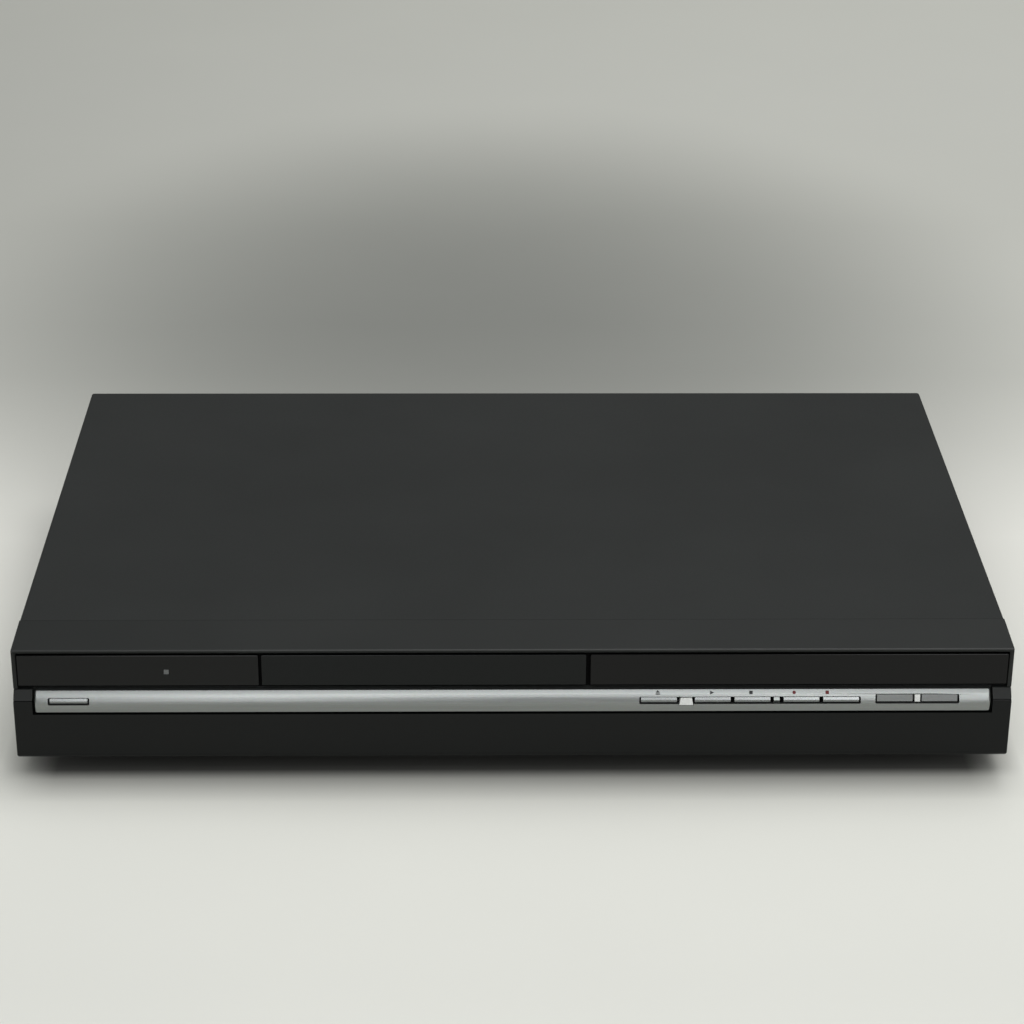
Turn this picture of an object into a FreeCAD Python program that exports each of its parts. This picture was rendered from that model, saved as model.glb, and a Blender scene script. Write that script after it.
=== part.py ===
import FreeCAD, Part
import math
import operator
import os
from types import SimpleNamespace

import Sketcher

# A disc recorder for the living room: a flat steel case with a moulded front, a drawer for the
# disc, a silver strip with the keys and a flap over the front sockets.
# Millimetres. The origin lies on the floor under the middle of the case, +X to the right as one
# faces the front, +Y to the back and +Z up.

# Driving dimensions

DIMENSIONS = {
    "overall_width": 430.0,
    "socket_reach": 6.5,
    "overall_height": 65.5,
    "foot_height": 12.5,
    "sheet": 0.8,
    "panel_wall": 2.0,
    "shaft_gap": 0.05,
    "free_gap": 0.3,
    "face_setback": 3.7,
    "visor_depth": 22.7,
    "visor_drop": 2.8,
    "tongue_inset": 3.0,
    "visor_round": 0.6,
    "crease_drop": 0.05,
    "tongue_length": 5.0,
    "recess_depth": 2.7,
    "lip_drop": 4.2,
    "notch_drop": 21.3,
    "notch_height": 0.6,
    "notch_depth": 0.9,
    "cheek_width": 8.1,
    "cheek_drop": 25.8,
    "cheek_reach": 2.8,
    "end_wall": 1.8,
    "frame_inset": 1.7,
    "window_top_drop": 5.6,
    "window_bottom_drop": 20.3,
    "window_setback": 0.5,
    "door_centre": -38.55,
    "door_width": 139.5,
    "door_gap_left": 1.2,
    "door_gap_right": 1.8,
    "door_round": 0.5,
    "strip_end_gap": 1.1,
    "strip_wall": 1.8,
    "strip_top_drop": 22.0,
    "strip_top_setback": 3.16,
    "strip_nose_drop": 25.15,
    "strip_nose_reach": 0.6,
    "strip_bottom_drop": 31.1,
    "strip_bottom_setback": 0.45,
    "strip_round": 7.0,
    "key_top_drop": 24.65,
    "key_ridge_drop": 25.75,
    "key_bottom_drop": 26.95,
    "key_top_gap": 0.25,
    "key_side_gap": 0.7,
    "key_low_gap": 0.55,
    "key_slot_round": 0.6,
    "key_back_gap": 1.2,
    "key_top_setback": 1.0,
    "key_ridge_setback": 0.23,
    "key_low_setback": 0.55,
    "select_top_drop": 23.85,
    "select_top_setback": 1.45,
    "select_low_setback": 0.65,
    "key_travel": 0.8,
    "key_stem_width": 5.0,
    "key_stem_height": 2.2,
    "key_width": 15.6,
    "power_key_width": 16.4,
    "select_key_width": 15.5,
    "power_key_inset": 23.8,
    "eject_key_inset": 152.4,
    "play_key_inset": 129.2,
    "stop_key_inset": 112.05,
    "record_key_inset": 90.9,
    "record_stop_key_inset": 73.8,
    "hard_disk_key_inset": 50.55,
    "disc_key_inset": 31.2,
    "key_lens_inset": 140.6,
    "key_lens_width": 6.0,
    "key_lens_taper": 0.55,
    "key_lens_top_drop": 25.0,
    "key_lens_low_drop": 28.1,
    "key_lens_lean": 0.85,
    "spacer_inset": 101.6,
    "spacer_width": 2.45,
    "select_lens_inset": 40.75,
    "select_lens_width": 2.4,
    "standby_lens_inset": 65.9,
    "standby_lens_drop": 13.6,
    "standby_lens_size": 2.2,
    "flap_reach": 3.1,
    "flap_hang": 1.1,
    "flap_thickness": 2.4,
    "flap_top_drop": 32.4,
    "flap_end_drop": 26.15,
    "flap_end_slope": 0.9,
    "flap_nose": 2.65,
    "flap_bead": 1.7,
    "flap_pin": 1.0,
    "lug_width": 6.0,
    "lug_inner_x": 62.0,
    "lug_outer_inset": 37.0,
    "cover_step": 0.7,
    "cover_length": 253.1,
    "cover_bend": 1.6,
    "cover_lap": 9.0,
    "side_vent_width": 2.4,
    "side_vent_pitch": 6.0,
    "side_vent_row": 13.0,
    "side_vent_low": 31.0,
    "chassis_flange": 11.0,
    "chassis_clear": 0.5,
    "floor_vent_length": 36.0,
    "floor_vent_width": 3.0,
    "floor_vent_pitch": 8.0,
    "floor_vent_first": 58.0,
    "floor_vent_inset": 33.0,
    "foot_radius": 19.0,
    "foot_base_radius": 17.0,
    "foot_well_radius": 11.0,
    "foot_well_depth": 5.0,
    "foot_inset": 43.0,
    "foot_front": 38.0,
    "foot_back": 34.0,
    "screw_shank": 1.5,
    "screw_head": 3.0,
    "screw_head_height": 1.8,
    "screw_length": 6.0,
    "side_screw_height": 22.0,
    "rear_screw_inset": 25.0,
    "board_height": 7.0,
    "board_thickness": 1.6,
    "pillar_radius": 3.2,
    "drive_width": 146.0,
    "drive_length": 186.0,
    "drive_wall": 3.0,
    "drive_foot": 6.7,
    "drive_foot_front": 25.0,
    "drive_foot_back": 12.0,
    "drive_foot_radius": 5.0,
    "drive_foot_inset": 8.0,
    "drive_side_height": 40.0,
    "disc_setback": 75.3,
    "disc_radius": 60.0,
    "small_disc_radius": 40.0,
    "tray_width": 129.0,
    "tray_length": 174.0,
    "tray_top_drop": 10.0,
    "tray_thickness": 8.0,
    "tray_travel": 138.0,
    "disc_well_depth": 1.8,
    "small_well_depth": 1.1,
    "tray_hole_radius": 20.0,
    "tray_slot_width": 44.0,
    "tray_wing_width": 2.5,
    "tray_wing_thickness": 2.0,
    "gear_module": 0.8,
    "rack_spare_teeth": 5,
    "rack_inset": 3.4,
    "rack_height": 3.0,
    "rack_back": 2.4,
    "pinion_teeth": 20,
    "wheel_teeth": 36,
    "pulley_teeth": 12,
    "gear_setback": 27.3,
    "gear_width": 3.2,
    "gear_pin": 1.5,
    "pulley_radius": 12.5,
    "motor_pulley_radius": 3.2,
    "belt_thickness": 1.0,
    "belt_width": 1.6,
    "loading_motor_x": 12.0,
    "loading_motor_radius": 10.5,
    "loading_motor_height": 10.5,
    "traverse_half_width": 42.0,
    "traverse_height": 30.0,
    "traverse_sheet": 1.2,
    "traverse_front": 20.0,
    "traverse_reach": 106.0,
    "traverse_pin": 2.0,
    "spindle_radius": 13.0,
    "turntable_radius": 14.5,
    "turntable_thickness": 2.2,
    "turntable_cone": 7.4,
    "turntable_cone_top": 6.2,
    "turntable_cone_height": 2.2,
    "rod_spread": 27.0,
    "rod_radius": 1.5,
    "rod_height": 5.5,
    "rod_spare": 21.0,
    "screw_spread": 35.0,
    "lead_screw_radius": 1.4,
    "pickup_length": 24.0,
    "pickup_offset": 28.0,
    "pickup_travel": 34.0,
    "pickup_head_half": 16.0,
    "lens_radius": 3.0,
    "sled_motor_radius": 4.2,
    "sled_motor_length": 13.0,
    "clamp_radius": 13.0,
    "clamp_flange": 17.0,
    "clamp_gap": 1.1,
    "fan_gap": 6.0,
    "fan_height": 41.0,
    "fan_size": 40.0,
    "fan_depth": 20.0,
    "fan_bore": 18.8,
    "fan_hub": 9.5,
    "fan_blades": 7,
    "grille_slot": 2.6,
    "grille_pitch": 4.6,
    "hard_disk_width": 101.6,
    "hard_disk_length": 147.0,
    "hard_disk_height": 26.1,
    "hard_disk_gap": 27.55,
    "hard_disk_front": 39.0,
    "bracket_margin": 4.6,
    "damper_height": 2.8,
    "damper_radius": 4.5,
    "damper_inset": 9.0,
    "damper_setback": 22.0,
    "power_board_inset": 6.0,
    "power_board_gap": 6.45,
    "power_board_length": 215.9,
    "power_board_setback": 7.0,
    "board_margin": 6.0,
    "main_board_left": -60.0,
    "main_board_inset": 11.0,
    "main_board_gap": 8.3,
    "main_board_setback": 1.0,
    "tuner_width": 44.0,
    "tuner_length": 50.0,
    "tuner_height": 24.0,
    "front_board_setback": 13.3,
    "front_board_low": 33.0,
    "front_board_high": 60.0,
    "tube_width": 130.0,
    "tube_inset": 27.0,
    "tube_low": 47.6,
    "tube_high": 57.6,
    "tube_depth": 7.0,
    "switch_body": 6.0,
    "switch_depth": 3.6,
    "jack_board_width": 96.0,
    "jack_board_inset": 13.0,
    "jack_boss_inset": 5.0,
    "jack_boss_back": 8.0,
    "front_jack_height": 25.5,
    "front_jack_depth": 14.0,
    "front_jack_lead": 1.2,
    "front_phono_inset": 47.0,
    "front_phono_pitch": 12.0,
    "data_socket_inset": 97.0,
    "data_socket_width": 13.2,
    "digital_socket_inset": 79.0,
    "digital_socket_width": 8.4,
    "flat_socket_height": 6.4,
    "flat_socket_wall": 0.6,
    "round_socket_inset": 63.0,
    "round_socket_radius": 5.8,
    "round_socket_bore": 4.4,
    "phono_radius": 4.1,
    "phono_bore": 1.9,
    "phono_pitch": 12.6,
    "phono_block": 12.2,
    "phono_column_pitch": 16.0,
    "phono_first": 82.0,
    "phono_low": 26.4,
    "aerial_inset": 44.0,
    "aerial_pitch": 22.0,
    "aerial_height": 34.0,
    "aerial_radius": 4.8,
    "aerial_bore": 3.4,
    "scart_from_edge": 38.0,
    "scart_width": 48.0,
    "scart_height": 14.0,
    "scart_pitch": 18.5,
    "scart_low": 30.5,
    "scart_shell": 1.6,
    "inlet_from_edge": 41.0,
    "inlet_height": 31.0,
    "inlet_width": 26.0,
    "inlet_tall": 15.0,
    "inlet_wall": 2.5,
    "inlet_depth": 20.0,
    "inlet_pin": 1.2,
    "inlet_pin_spread": 4.3,
    "video_from_edge": 136.0,
    "optical_from_edge": 164.0,
    "ribbon_thickness": 0.5,
    "drive_ribbon_from_edge": 24.0,
    "drive_ribbon_width": 22.0,
    "front_ribbon_gap": 11.55,
    "front_ribbon_width": 12.0,
    "disk_plug_inset": 8.0,
    "disk_plug_width": 54.0,
    "disk_plug_reach": 6.0,
    "header_setback": 6.0,
    "header_length": 6.0,
    "header_height": 7.0,
    "header_margin": 1.0,
    "processor_from_edge": 150.0,
    "processor_setback": 25.0,
    "processor_size": 27.0,
    "processor_height": 2.0,
    "board_grid": 1.0,
    "core_width": 40.0,
    "core_length": 34.0,
    "core_height": 26.0,
    "winding_width": 32.0,
    "winding_length": 46.0,
    "winding_height": 20.0,
    "sink_height": 26.0,
    "sink_width": 9.0,
    "sink_length": 36.0,
    "sink_base": 2.0,
}

doc = FreeCAD.newDocument("DiscRecorder")
sheet = doc.addObject("Spreadsheet::Sheet", "Sizes")
for row, (alias, amount) in enumerate(DIMENSIONS.items(), start=1):
    sheet.set(f"A{row}", alias)
    sheet.set(f"B{row}", str(amount))
    sheet.setAlias(f"B{row}", alias)
doc.recompute()


# Sizes as expressions on the sheet

class Size:
    """A length read from the sheet, with the expression that works it out."""

    def __init__(self, text, value):
        self.text = text
        self.value = value

    def __add__(self, other):
        return combine(self, "+", other)

    def __radd__(self, other):
        return combine(other, "+", self)

    def __sub__(self, other):
        return combine(self, "-", other)

    def __rsub__(self, other):
        return combine(other, "-", self)

    def __mul__(self, other):
        return combine(self, "*", other)

    def __rmul__(self, other):
        return combine(other, "*", self)

    def __truediv__(self, other):
        return combine(self, "/", other)

    def __neg__(self):
        return combine(0, "-", self)


SIGNS = {"+": operator.add, "-": operator.sub, "*": operator.mul, "/": operator.truediv}


def as_size(length):
    if isinstance(length, Size):
        return length
    return Size(f"({float(length)!r})", float(length))


def combine(left, sign, right):
    left = as_size(left)
    right = as_size(right)
    return Size(f"({left.text} {sign} {right.text})", SIGNS[sign](left.value, right.value))


s = SimpleNamespace(**{alias: Size(f"Sizes.{alias}", sheet.get(alias)) for alias in DIMENSIONS})


# Building blocks

PLANES = {"x": "YZ_Plane", "y": "XZ_Plane", "z": "XY_Plane"}
ACROSS = {"x": ("y", "z"), "y": ("x", "z"), "z": ("x", "y")}
TURNS = {
    "x": FreeCAD.Rotation(FreeCAD.Vector(0, 1, 0), 90),
    "y": FreeCAD.Rotation(FreeCAD.Vector(1, 0, 0), -90),
    "z": FreeCAD.Rotation(),
}


def bind(item, field, length):
    item.setExpression(field, as_size(length).text)


def place(item, x, y, z):
    for axis, length in zip("xyz", (x, y, z)):
        bind(item, f"Placement.Base.{axis}", length)


def around(middle, width):
    """The two faces that lie evenly about a middle."""
    return middle - width / 2, middle + width / 2


def in_order(one, other):
    """Two faces with the lower one first."""
    return tuple(sorted((as_size(one), as_size(other)), key=lambda face: face.value))


def box(x, y, z):
    """A block between three pairs of faces."""
    block = doc.addObject("Part::Box", "Block")
    for field, (low, high) in zip(("Length", "Width", "Height"), (x, y, z)):
        bind(block, field, high - low)
    place(block, x[0], y[0], z[0])
    return block


def rod(axis, centre, radius, span):
    """A cylinder along an axis, through a centre that is given across the axis."""
    cylinder = doc.addObject("Part::Cylinder", "Rod")
    cylinder.Placement.Rotation = TURNS[axis]
    bind(cylinder, "Radius", radius)
    bind(cylinder, "Height", span[1] - span[0])
    spot = dict(zip(ACROSS[axis], centre))
    spot[axis] = span[0]
    place(cylinder, spot["x"], spot["y"], spot["z"])
    return cylinder


def cone(centre, low_radius, high_radius, span):
    """An upright cone frustum."""
    frustum = doc.addObject("Part::Cone", "Frustum")
    bind(frustum, "Radius1", low_radius)
    bind(frustum, "Radius2", high_radius)
    bind(frustum, "Height", span[1] - span[0])
    place(frustum, centre[0], centre[1], span[0])
    return frustum


def join(*pieces):
    union = doc.addObject("Part::MultiFuse", "Union")
    union.Shapes = list(pieces)
    union.Refine = True
    return union


def carve(piece, *tools):
    """A piece with tools cut away from it."""
    rest = doc.addObject("Part::Cut", "Carved")
    rest.Base = piece
    rest.Tool = tools[0] if len(tools) == 1 else join(*tools)
    rest.Refine = True
    return rest


def bundle(*pieces):
    """Separate solids that share one node."""
    group = doc.addObject("Part::Compound", "Group")
    group.Links = list(pieces)
    return group


def edges_at(shape, axis, spots):
    """The names of the straight edges along an axis that stand on given spots."""
    names = []
    for index, edge in enumerate(shape.Edges, start=1):
        ends = [vertex.Point for vertex in edge.Vertexes]
        if len(ends) < 2:
            continue
        first, second = ACROSS[axis]
        flat = [(getattr(end, first), getattr(end, second)) for end in ends]
        if any(all(math.dist(end, spot) < 1e-4 for end in flat) for spot in spots):
            names.append(f"Edge{index}")
    return names


def prism(axis, span, corners, rounds=()):
    """A body padded along an axis from a straight-sided outline; rounds pairs radius and corners."""
    low, high = as_size(span[0]), as_size(span[1])
    corners = [(as_size(across), as_size(up)) for across, up in corners]
    body = doc.addObject("PartDesign::Body", "Body")
    outline = body.newObject("Sketcher::SketchObject", "Outline")
    plane = next(item for item in body.Origin.OriginFeatures if item.Role == PLANES[axis])
    outline.AttachmentSupport = [(plane, "")]
    outline.MapMode = "FlatFace"
    bind(outline, "AttachmentOffset.Base.z", -high if axis == "y" else low)
    spots = [(across.value, up.value) for across, up in corners]
    for index, spot in enumerate(spots):
        follower = spots[(index + 1) % len(spots)]
        line = Part.LineSegment(FreeCAD.Vector(*spot, 0), FreeCAD.Vector(*follower, 0))
        outline.addGeometry(line, False)
    for index in range(len(spots)):
        neighbour = (index + 1) % len(spots)
        outline.addConstraint(Sketcher.Constraint("Coincident", index, 2, neighbour, 1))
    for index, corner in enumerate(corners):
        for kind, length in zip(("DistanceX", "DistanceY"), corner):
            constraint = Sketcher.Constraint(kind, -1, 1, index, 1, length.value)
            number = outline.addConstraint(constraint)
            bind(outline, f"Constraints[{number}]", length)
    pad = body.newObject("PartDesign::Pad", "Pad")
    pad.Profile = outline
    bind(pad, "Length", high - low)
    tip = pad
    for radius, chosen in rounds:
        doc.recompute()
        fillet = body.newObject("PartDesign::Fillet", "Fillet")
        fillet.Base = (tip, edges_at(tip.Shape, axis, [spots[index] for index in chosen]))
        bind(fillet, "Radius", radius)
        tip = fillet
    body.Tip = tip
    return body


def slab(x, y, z, axis, radius):
    """A block whose four edges along an axis are rounded."""
    spans = {"x": x, "y": y, "z": z}
    first, second = (spans[name] for name in ACROSS[axis])
    corners = [
        (first[0], second[0]),
        (first[1], second[0]),
        (first[1], second[1]),
        (first[0], second[1]),
    ]
    return prism(axis, spans[axis], corners, [(radius, range(4))])


def solid_from(shape, x=0, y=0, z=0):
    """A shape made point by point from the sheet's sizes, set down at a place."""
    feature = doc.addObject("Part::Feature", "Form")
    feature.Shape = shape
    place(feature, x, y, z)
    return feature


nodes = {}


def node(name, piece):
    piece.Label = name
    nodes[name] = piece
    return piece


# Planes that the whole recorder shares

half_width = s.overall_width / 2
overall_depth = s.face_setback + s.visor_depth + s.cover_length + s.socket_reach
front_y = -overall_depth / 2
face_y = front_y + s.face_setback
wall_y = face_y + s.recess_depth
wall_back_y = wall_y + s.panel_wall
crease_y = face_y + s.visor_depth
cover_back_y = crease_y + s.cover_length
panel_back_y = cover_back_y - s.sheet
panel_front_y = panel_back_y - s.sheet
reach_back_y = cover_back_y + s.socket_reach
top_z = s.overall_height
base_z = s.foot_height
floor_z = base_z + s.sheet
under_cover_z = top_z - s.sheet
cover_half = half_width - s.cover_step
chassis_half = cover_half - s.sheet - s.chassis_clear
chassis_front_y = crease_y - s.frame_inset + s.free_gap
window_top = top_z - s.window_top_drop
window_bottom = top_z - s.window_bottom_drop
window_front_y = face_y + s.window_setback
strip_top = top_z - s.strip_top_drop
strip_bottom = top_z - s.strip_bottom_drop
cheek_x = half_width - s.cheek_width
strip_half = cheek_x - s.strip_end_gap
cheek_z = top_z - s.cheek_drop
lip_z = top_z - s.lip_drop
flap_face_y = face_y - s.flap_reach
flap_back_y = flap_face_y + s.flap_thickness
flap_top = top_z - s.flap_top_drop
hinge_y = flap_face_y + s.flap_nose
flap_bottom = base_z - s.flap_hang
hinge_z = flap_bottom + s.flap_nose
key_top = top_z - s.key_top_drop
key_bottom = top_z - s.key_bottom_drop
key_middle = (key_top + key_bottom) / 2
key_back_y = wall_y - s.key_back_gap
door_left, door_right = around(s.door_centre, s.door_width)
board_low = floor_z + s.board_height
board_top = board_low + s.board_thickness
drive_front_y = wall_back_y + s.free_gap
drive_back_y = drive_front_y + s.drive_length
drive_low = floor_z + s.drive_foot
drive_floor = drive_low + s.panel_wall
tray_top = top_z - s.tray_top_drop
tray_bottom = tray_top - s.tray_thickness
tray_front_y = wall_y + s.free_gap
tray_back_y = tray_front_y + s.tray_length
drive_x = s.door_centre
drive_left, drive_right = around(drive_x, s.drive_width)
disc_centre_y = face_y + s.disc_setback
gear_row_y = face_y + s.gear_setback
traverse_hinge_y = disc_centre_y + s.traverse_reach
disc_spot = (drive_x, disc_centre_y)
front_board_y = face_y + s.front_board_setback
fan_x = s.main_board_left - s.fan_gap - s.fan_size / 2
fan_spot = (fan_x, s.fan_height)
lug_outer_x = half_width - s.lug_outer_inset
lug_places = [-lug_outer_x, -s.lug_inner_x, s.lug_inner_x, lug_outer_x]
power_key_x = s.power_key_inset - half_width
eject_key_x = half_width - s.eject_key_inset
play_key_x = half_width - s.play_key_inset
stop_key_x = half_width - s.stop_key_inset
record_key_x = half_width - s.record_key_inset
record_stop_key_x = half_width - s.record_stop_key_inset
key_lens_x = half_width - s.key_lens_inset
select_lens_x = half_width - s.select_lens_inset
standby_lens_x = s.standby_lens_inset - half_width
spacer_x = half_width - s.spacer_inset
transport_keys = {
    "eject_key": eject_key_x,
    "play_key": play_key_x,
    "stop_key": stop_key_x,
    "record_key": record_key_x,
    "record_stop_key": record_stop_key_x,
}
select_keys = {
    "hard_disk_key": half_width - s.hard_disk_key_inset,
    "disc_key": half_width - s.disc_key_inset,
}
key_places = {
    "power_key": (power_key_x, s.power_key_width),
    **{name: (middle, s.key_width) for name, middle in transport_keys.items()},
    **{name: (middle, s.select_key_width) for name, middle in select_keys.items()},
}
tube_right = half_width - s.tube_inset
tube_left = tube_right - s.tube_width
jack_board_right = half_width - s.jack_board_inset
jack_board_left = jack_board_right - s.jack_board_width
data_socket_x = half_width - s.data_socket_inset
digital_socket_x = half_width - s.digital_socket_inset
round_socket_x = half_width - s.round_socket_inset
front_phono_x = half_width - s.front_phono_inset
front_boss_places = [
    (tube_left - 10, s.front_board_high - 4),
    (tube_right + 8, s.front_board_high - 4),
    (power_key_x - 10, s.front_board_high - 8),
    (power_key_x + 12, s.front_board_high - 8),
]
jack_board_low = s.front_jack_height - s.phono_block / 2 - s.board_thickness
jack_board_y = (wall_back_y + s.free_gap, wall_back_y + 20)
jack_boss_y = jack_board_y[1] - s.jack_boss_back
jack_boss_x = (jack_board_left + s.jack_boss_inset, jack_board_right - s.jack_boss_inset)
jack_boss_places = [(x, jack_boss_y) for x in jack_boss_x]
front_phono_places = [front_phono_x + step * s.front_phono_pitch for step in range(3)]


# Shared small parts

def screw_along(axis, centre, head_face, inward, head_height=s.screw_head_height):
    """A pan-head screw whose head sits on a face; inward is +1 or -1 along the axis."""
    shank_end = head_face + inward * s.screw_length
    head_end = head_face - inward * head_height
    head_span = (head_end, head_face) if inward > 0 else (head_face, head_end)
    shank_span = (head_face, shank_end) if inward > 0 else (shank_end, head_face)
    head = rod(axis, centre, s.screw_head, head_span)
    shank = rod(axis, centre, s.screw_shank, shank_span)
    return join(head, shank)


def screw_hole(axis, centre, span):
    return rod(axis, centre, s.screw_shank + s.shaft_gap, span)


def post(centre, radius, low, high, bore=None):
    """An upright post, with a bore right through when one is given."""
    pillar = rod("z", centre, radius, (low, high))
    if bore is None:
        return pillar
    return carve(pillar, rod("z", centre, bore, (low - 1, high + 1)))


# Case

rear_screw_x = half_width - s.rear_screw_inset
foot_x = half_width - s.foot_inset
side_screw_places = [crease_y + 34, cover_back_y - 26]
rear_screw_places = [-rear_screw_x, as_size(6), rear_screw_x]
rear_screw_z = top_z - s.cover_lap / 2
foot_places = [
    (side * foot_x, y)
    for side in (-1, 1)
    for y in (front_y + s.foot_front, cover_back_y - s.foot_back)
]
foot_screw_face = s.foot_well_depth
power_board_left = s.power_board_inset - chassis_half
power_board_x = (power_board_left, drive_left - s.power_board_gap)
power_board_back = panel_front_y - s.power_board_setback
power_board_front = power_board_back - s.power_board_length
power_board_y = (power_board_front, power_board_back)
main_board_front = drive_back_y + s.main_board_gap
main_board_x = (s.main_board_left, chassis_half - s.main_board_inset)
main_board_y = (main_board_front, panel_front_y - s.main_board_setback)


def corner_places(x, y):
    """The screw places just inside the corners of a board."""
    margin = s.board_margin
    columns = (x[0] + margin, x[1] - margin)
    rows = (y[0] + margin, y[1] - margin)
    return [(across, back) for across in columns for back in rows]


pillar_places = corner_places(power_board_x, power_board_y) + corner_places(main_board_x, main_board_y)


def top_cover():
    inner = cover_half - s.sheet
    outline = [
        (-cover_half, base_z),
        (-inner, base_z),
        (-inner, under_cover_z),
        (inner, under_cover_z),
        (inner, base_z),
        (cover_half, base_z),
        (cover_half, top_z),
        (-cover_half, top_z),
    ]
    bends = [(s.cover_bend, (6, 7)), (s.cover_bend - s.sheet, (2, 3))]
    shell = prism("y", (crease_y, cover_back_y), outline, bends)
    lap = box((-inner, inner), (panel_back_y, cover_back_y), (top_z - s.cover_lap, under_cover_z))
    holes = []
    for y in side_screw_places:
        for side in (-1, 1):
            wall = in_order(side * inner, side * cover_half)
            span = (wall[0] - 1, wall[1] + 1)
            holes.append(screw_hole("x", (y, s.side_screw_height), span))
    for x in rear_screw_places:
        holes.append(screw_hole("y", (x, rear_screw_z), (panel_back_y - 1, cover_back_y + 1)))
    for first in (crease_y + 64, cover_back_y - 112):
        for index in range(9):
            y = first + index * s.side_vent_pitch
            for level in range(2):
                low = s.side_vent_low + level * (s.side_vent_row + 4)
                high = low + s.side_vent_row
                for side in (-1, 1):
                    wall = in_order(side * inner, side * cover_half)
                    slot = box((wall[0] - 1, wall[1] + 1), (y, y + s.side_vent_width), (low, high))
                    holes.append(slot)
    node("top_cover", carve(join(shell, lap), *holes))


def bottom_chassis():
    back = panel_front_y - s.free_gap
    plate = box((-chassis_half, chassis_half), (chassis_front_y, back), (base_z, floor_z))
    flange_top = floor_z + s.chassis_flange
    walls = [
        box((-chassis_half, -chassis_half + s.sheet), (chassis_front_y, back), (base_z, flange_top)),
        box((chassis_half - s.sheet, chassis_half), (chassis_front_y, back), (base_z, flange_top)),
        box((-chassis_half, chassis_half), (back - s.sheet, back), (base_z, board_low - s.free_gap)),
    ]
    pillars = [post(spot, s.pillar_radius, base_z, board_low) for spot in pillar_places]
    holes = [screw_hole("z", spot, (base_z - 1, board_low + 1)) for spot in pillar_places]
    for y in side_screw_places:
        for side in (-1, 1):
            wall = in_order(side * (chassis_half - s.sheet), side * chassis_half)
            holes.append(screw_hole("x", (y, s.side_screw_height), (wall[0] - 1, wall[1] + 1)))
    for spot in foot_places:
        holes.append(screw_hole("z", spot, (base_z - 1, floor_z + 1)))
    for index in range(8):
        y = chassis_front_y + s.floor_vent_first + index * s.floor_vent_pitch
        for side in (-1, 1):
            length = around(side * (half_width - s.floor_vent_inset), s.floor_vent_length)
            holes.append(box(length, (y, y + s.floor_vent_width), (base_z - 1, floor_z + 1)))
    node("bottom_chassis", carve(join(plate, *walls, *pillars), *holes))


def feet():
    pieces = []
    for spot in foot_places:
        body = cone(spot, s.foot_base_radius, s.foot_radius, (as_size(0), base_z))
        well = rod("z", spot, s.foot_well_radius, (as_size(-1), s.foot_well_depth))
        pieces.append(carve(body, well, screw_hole("z", spot, (as_size(-1), base_z + 1))))
    node("feet", bundle(*pieces))


def case_screws():
    screws = []
    for y in side_screw_places:
        for side in (-1, 1):
            spot = (y, s.side_screw_height)
            screws.append(screw_along("x", spot, side * cover_half, -side, half_width - cover_half))
    for x in rear_screw_places:
        screws.append(screw_along("y", (x, rear_screw_z), cover_back_y, -1))
    for spot in foot_places:
        head = rod("z", spot, s.screw_head, (foot_screw_face - s.screw_head_height, foot_screw_face))
        shank = rod("z", spot, s.screw_shank, (foot_screw_face, floor_z + 1.5))
        screws.append(join(head, shank))
    node("case_screws", bundle(*screws))


# Front moulding

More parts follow.
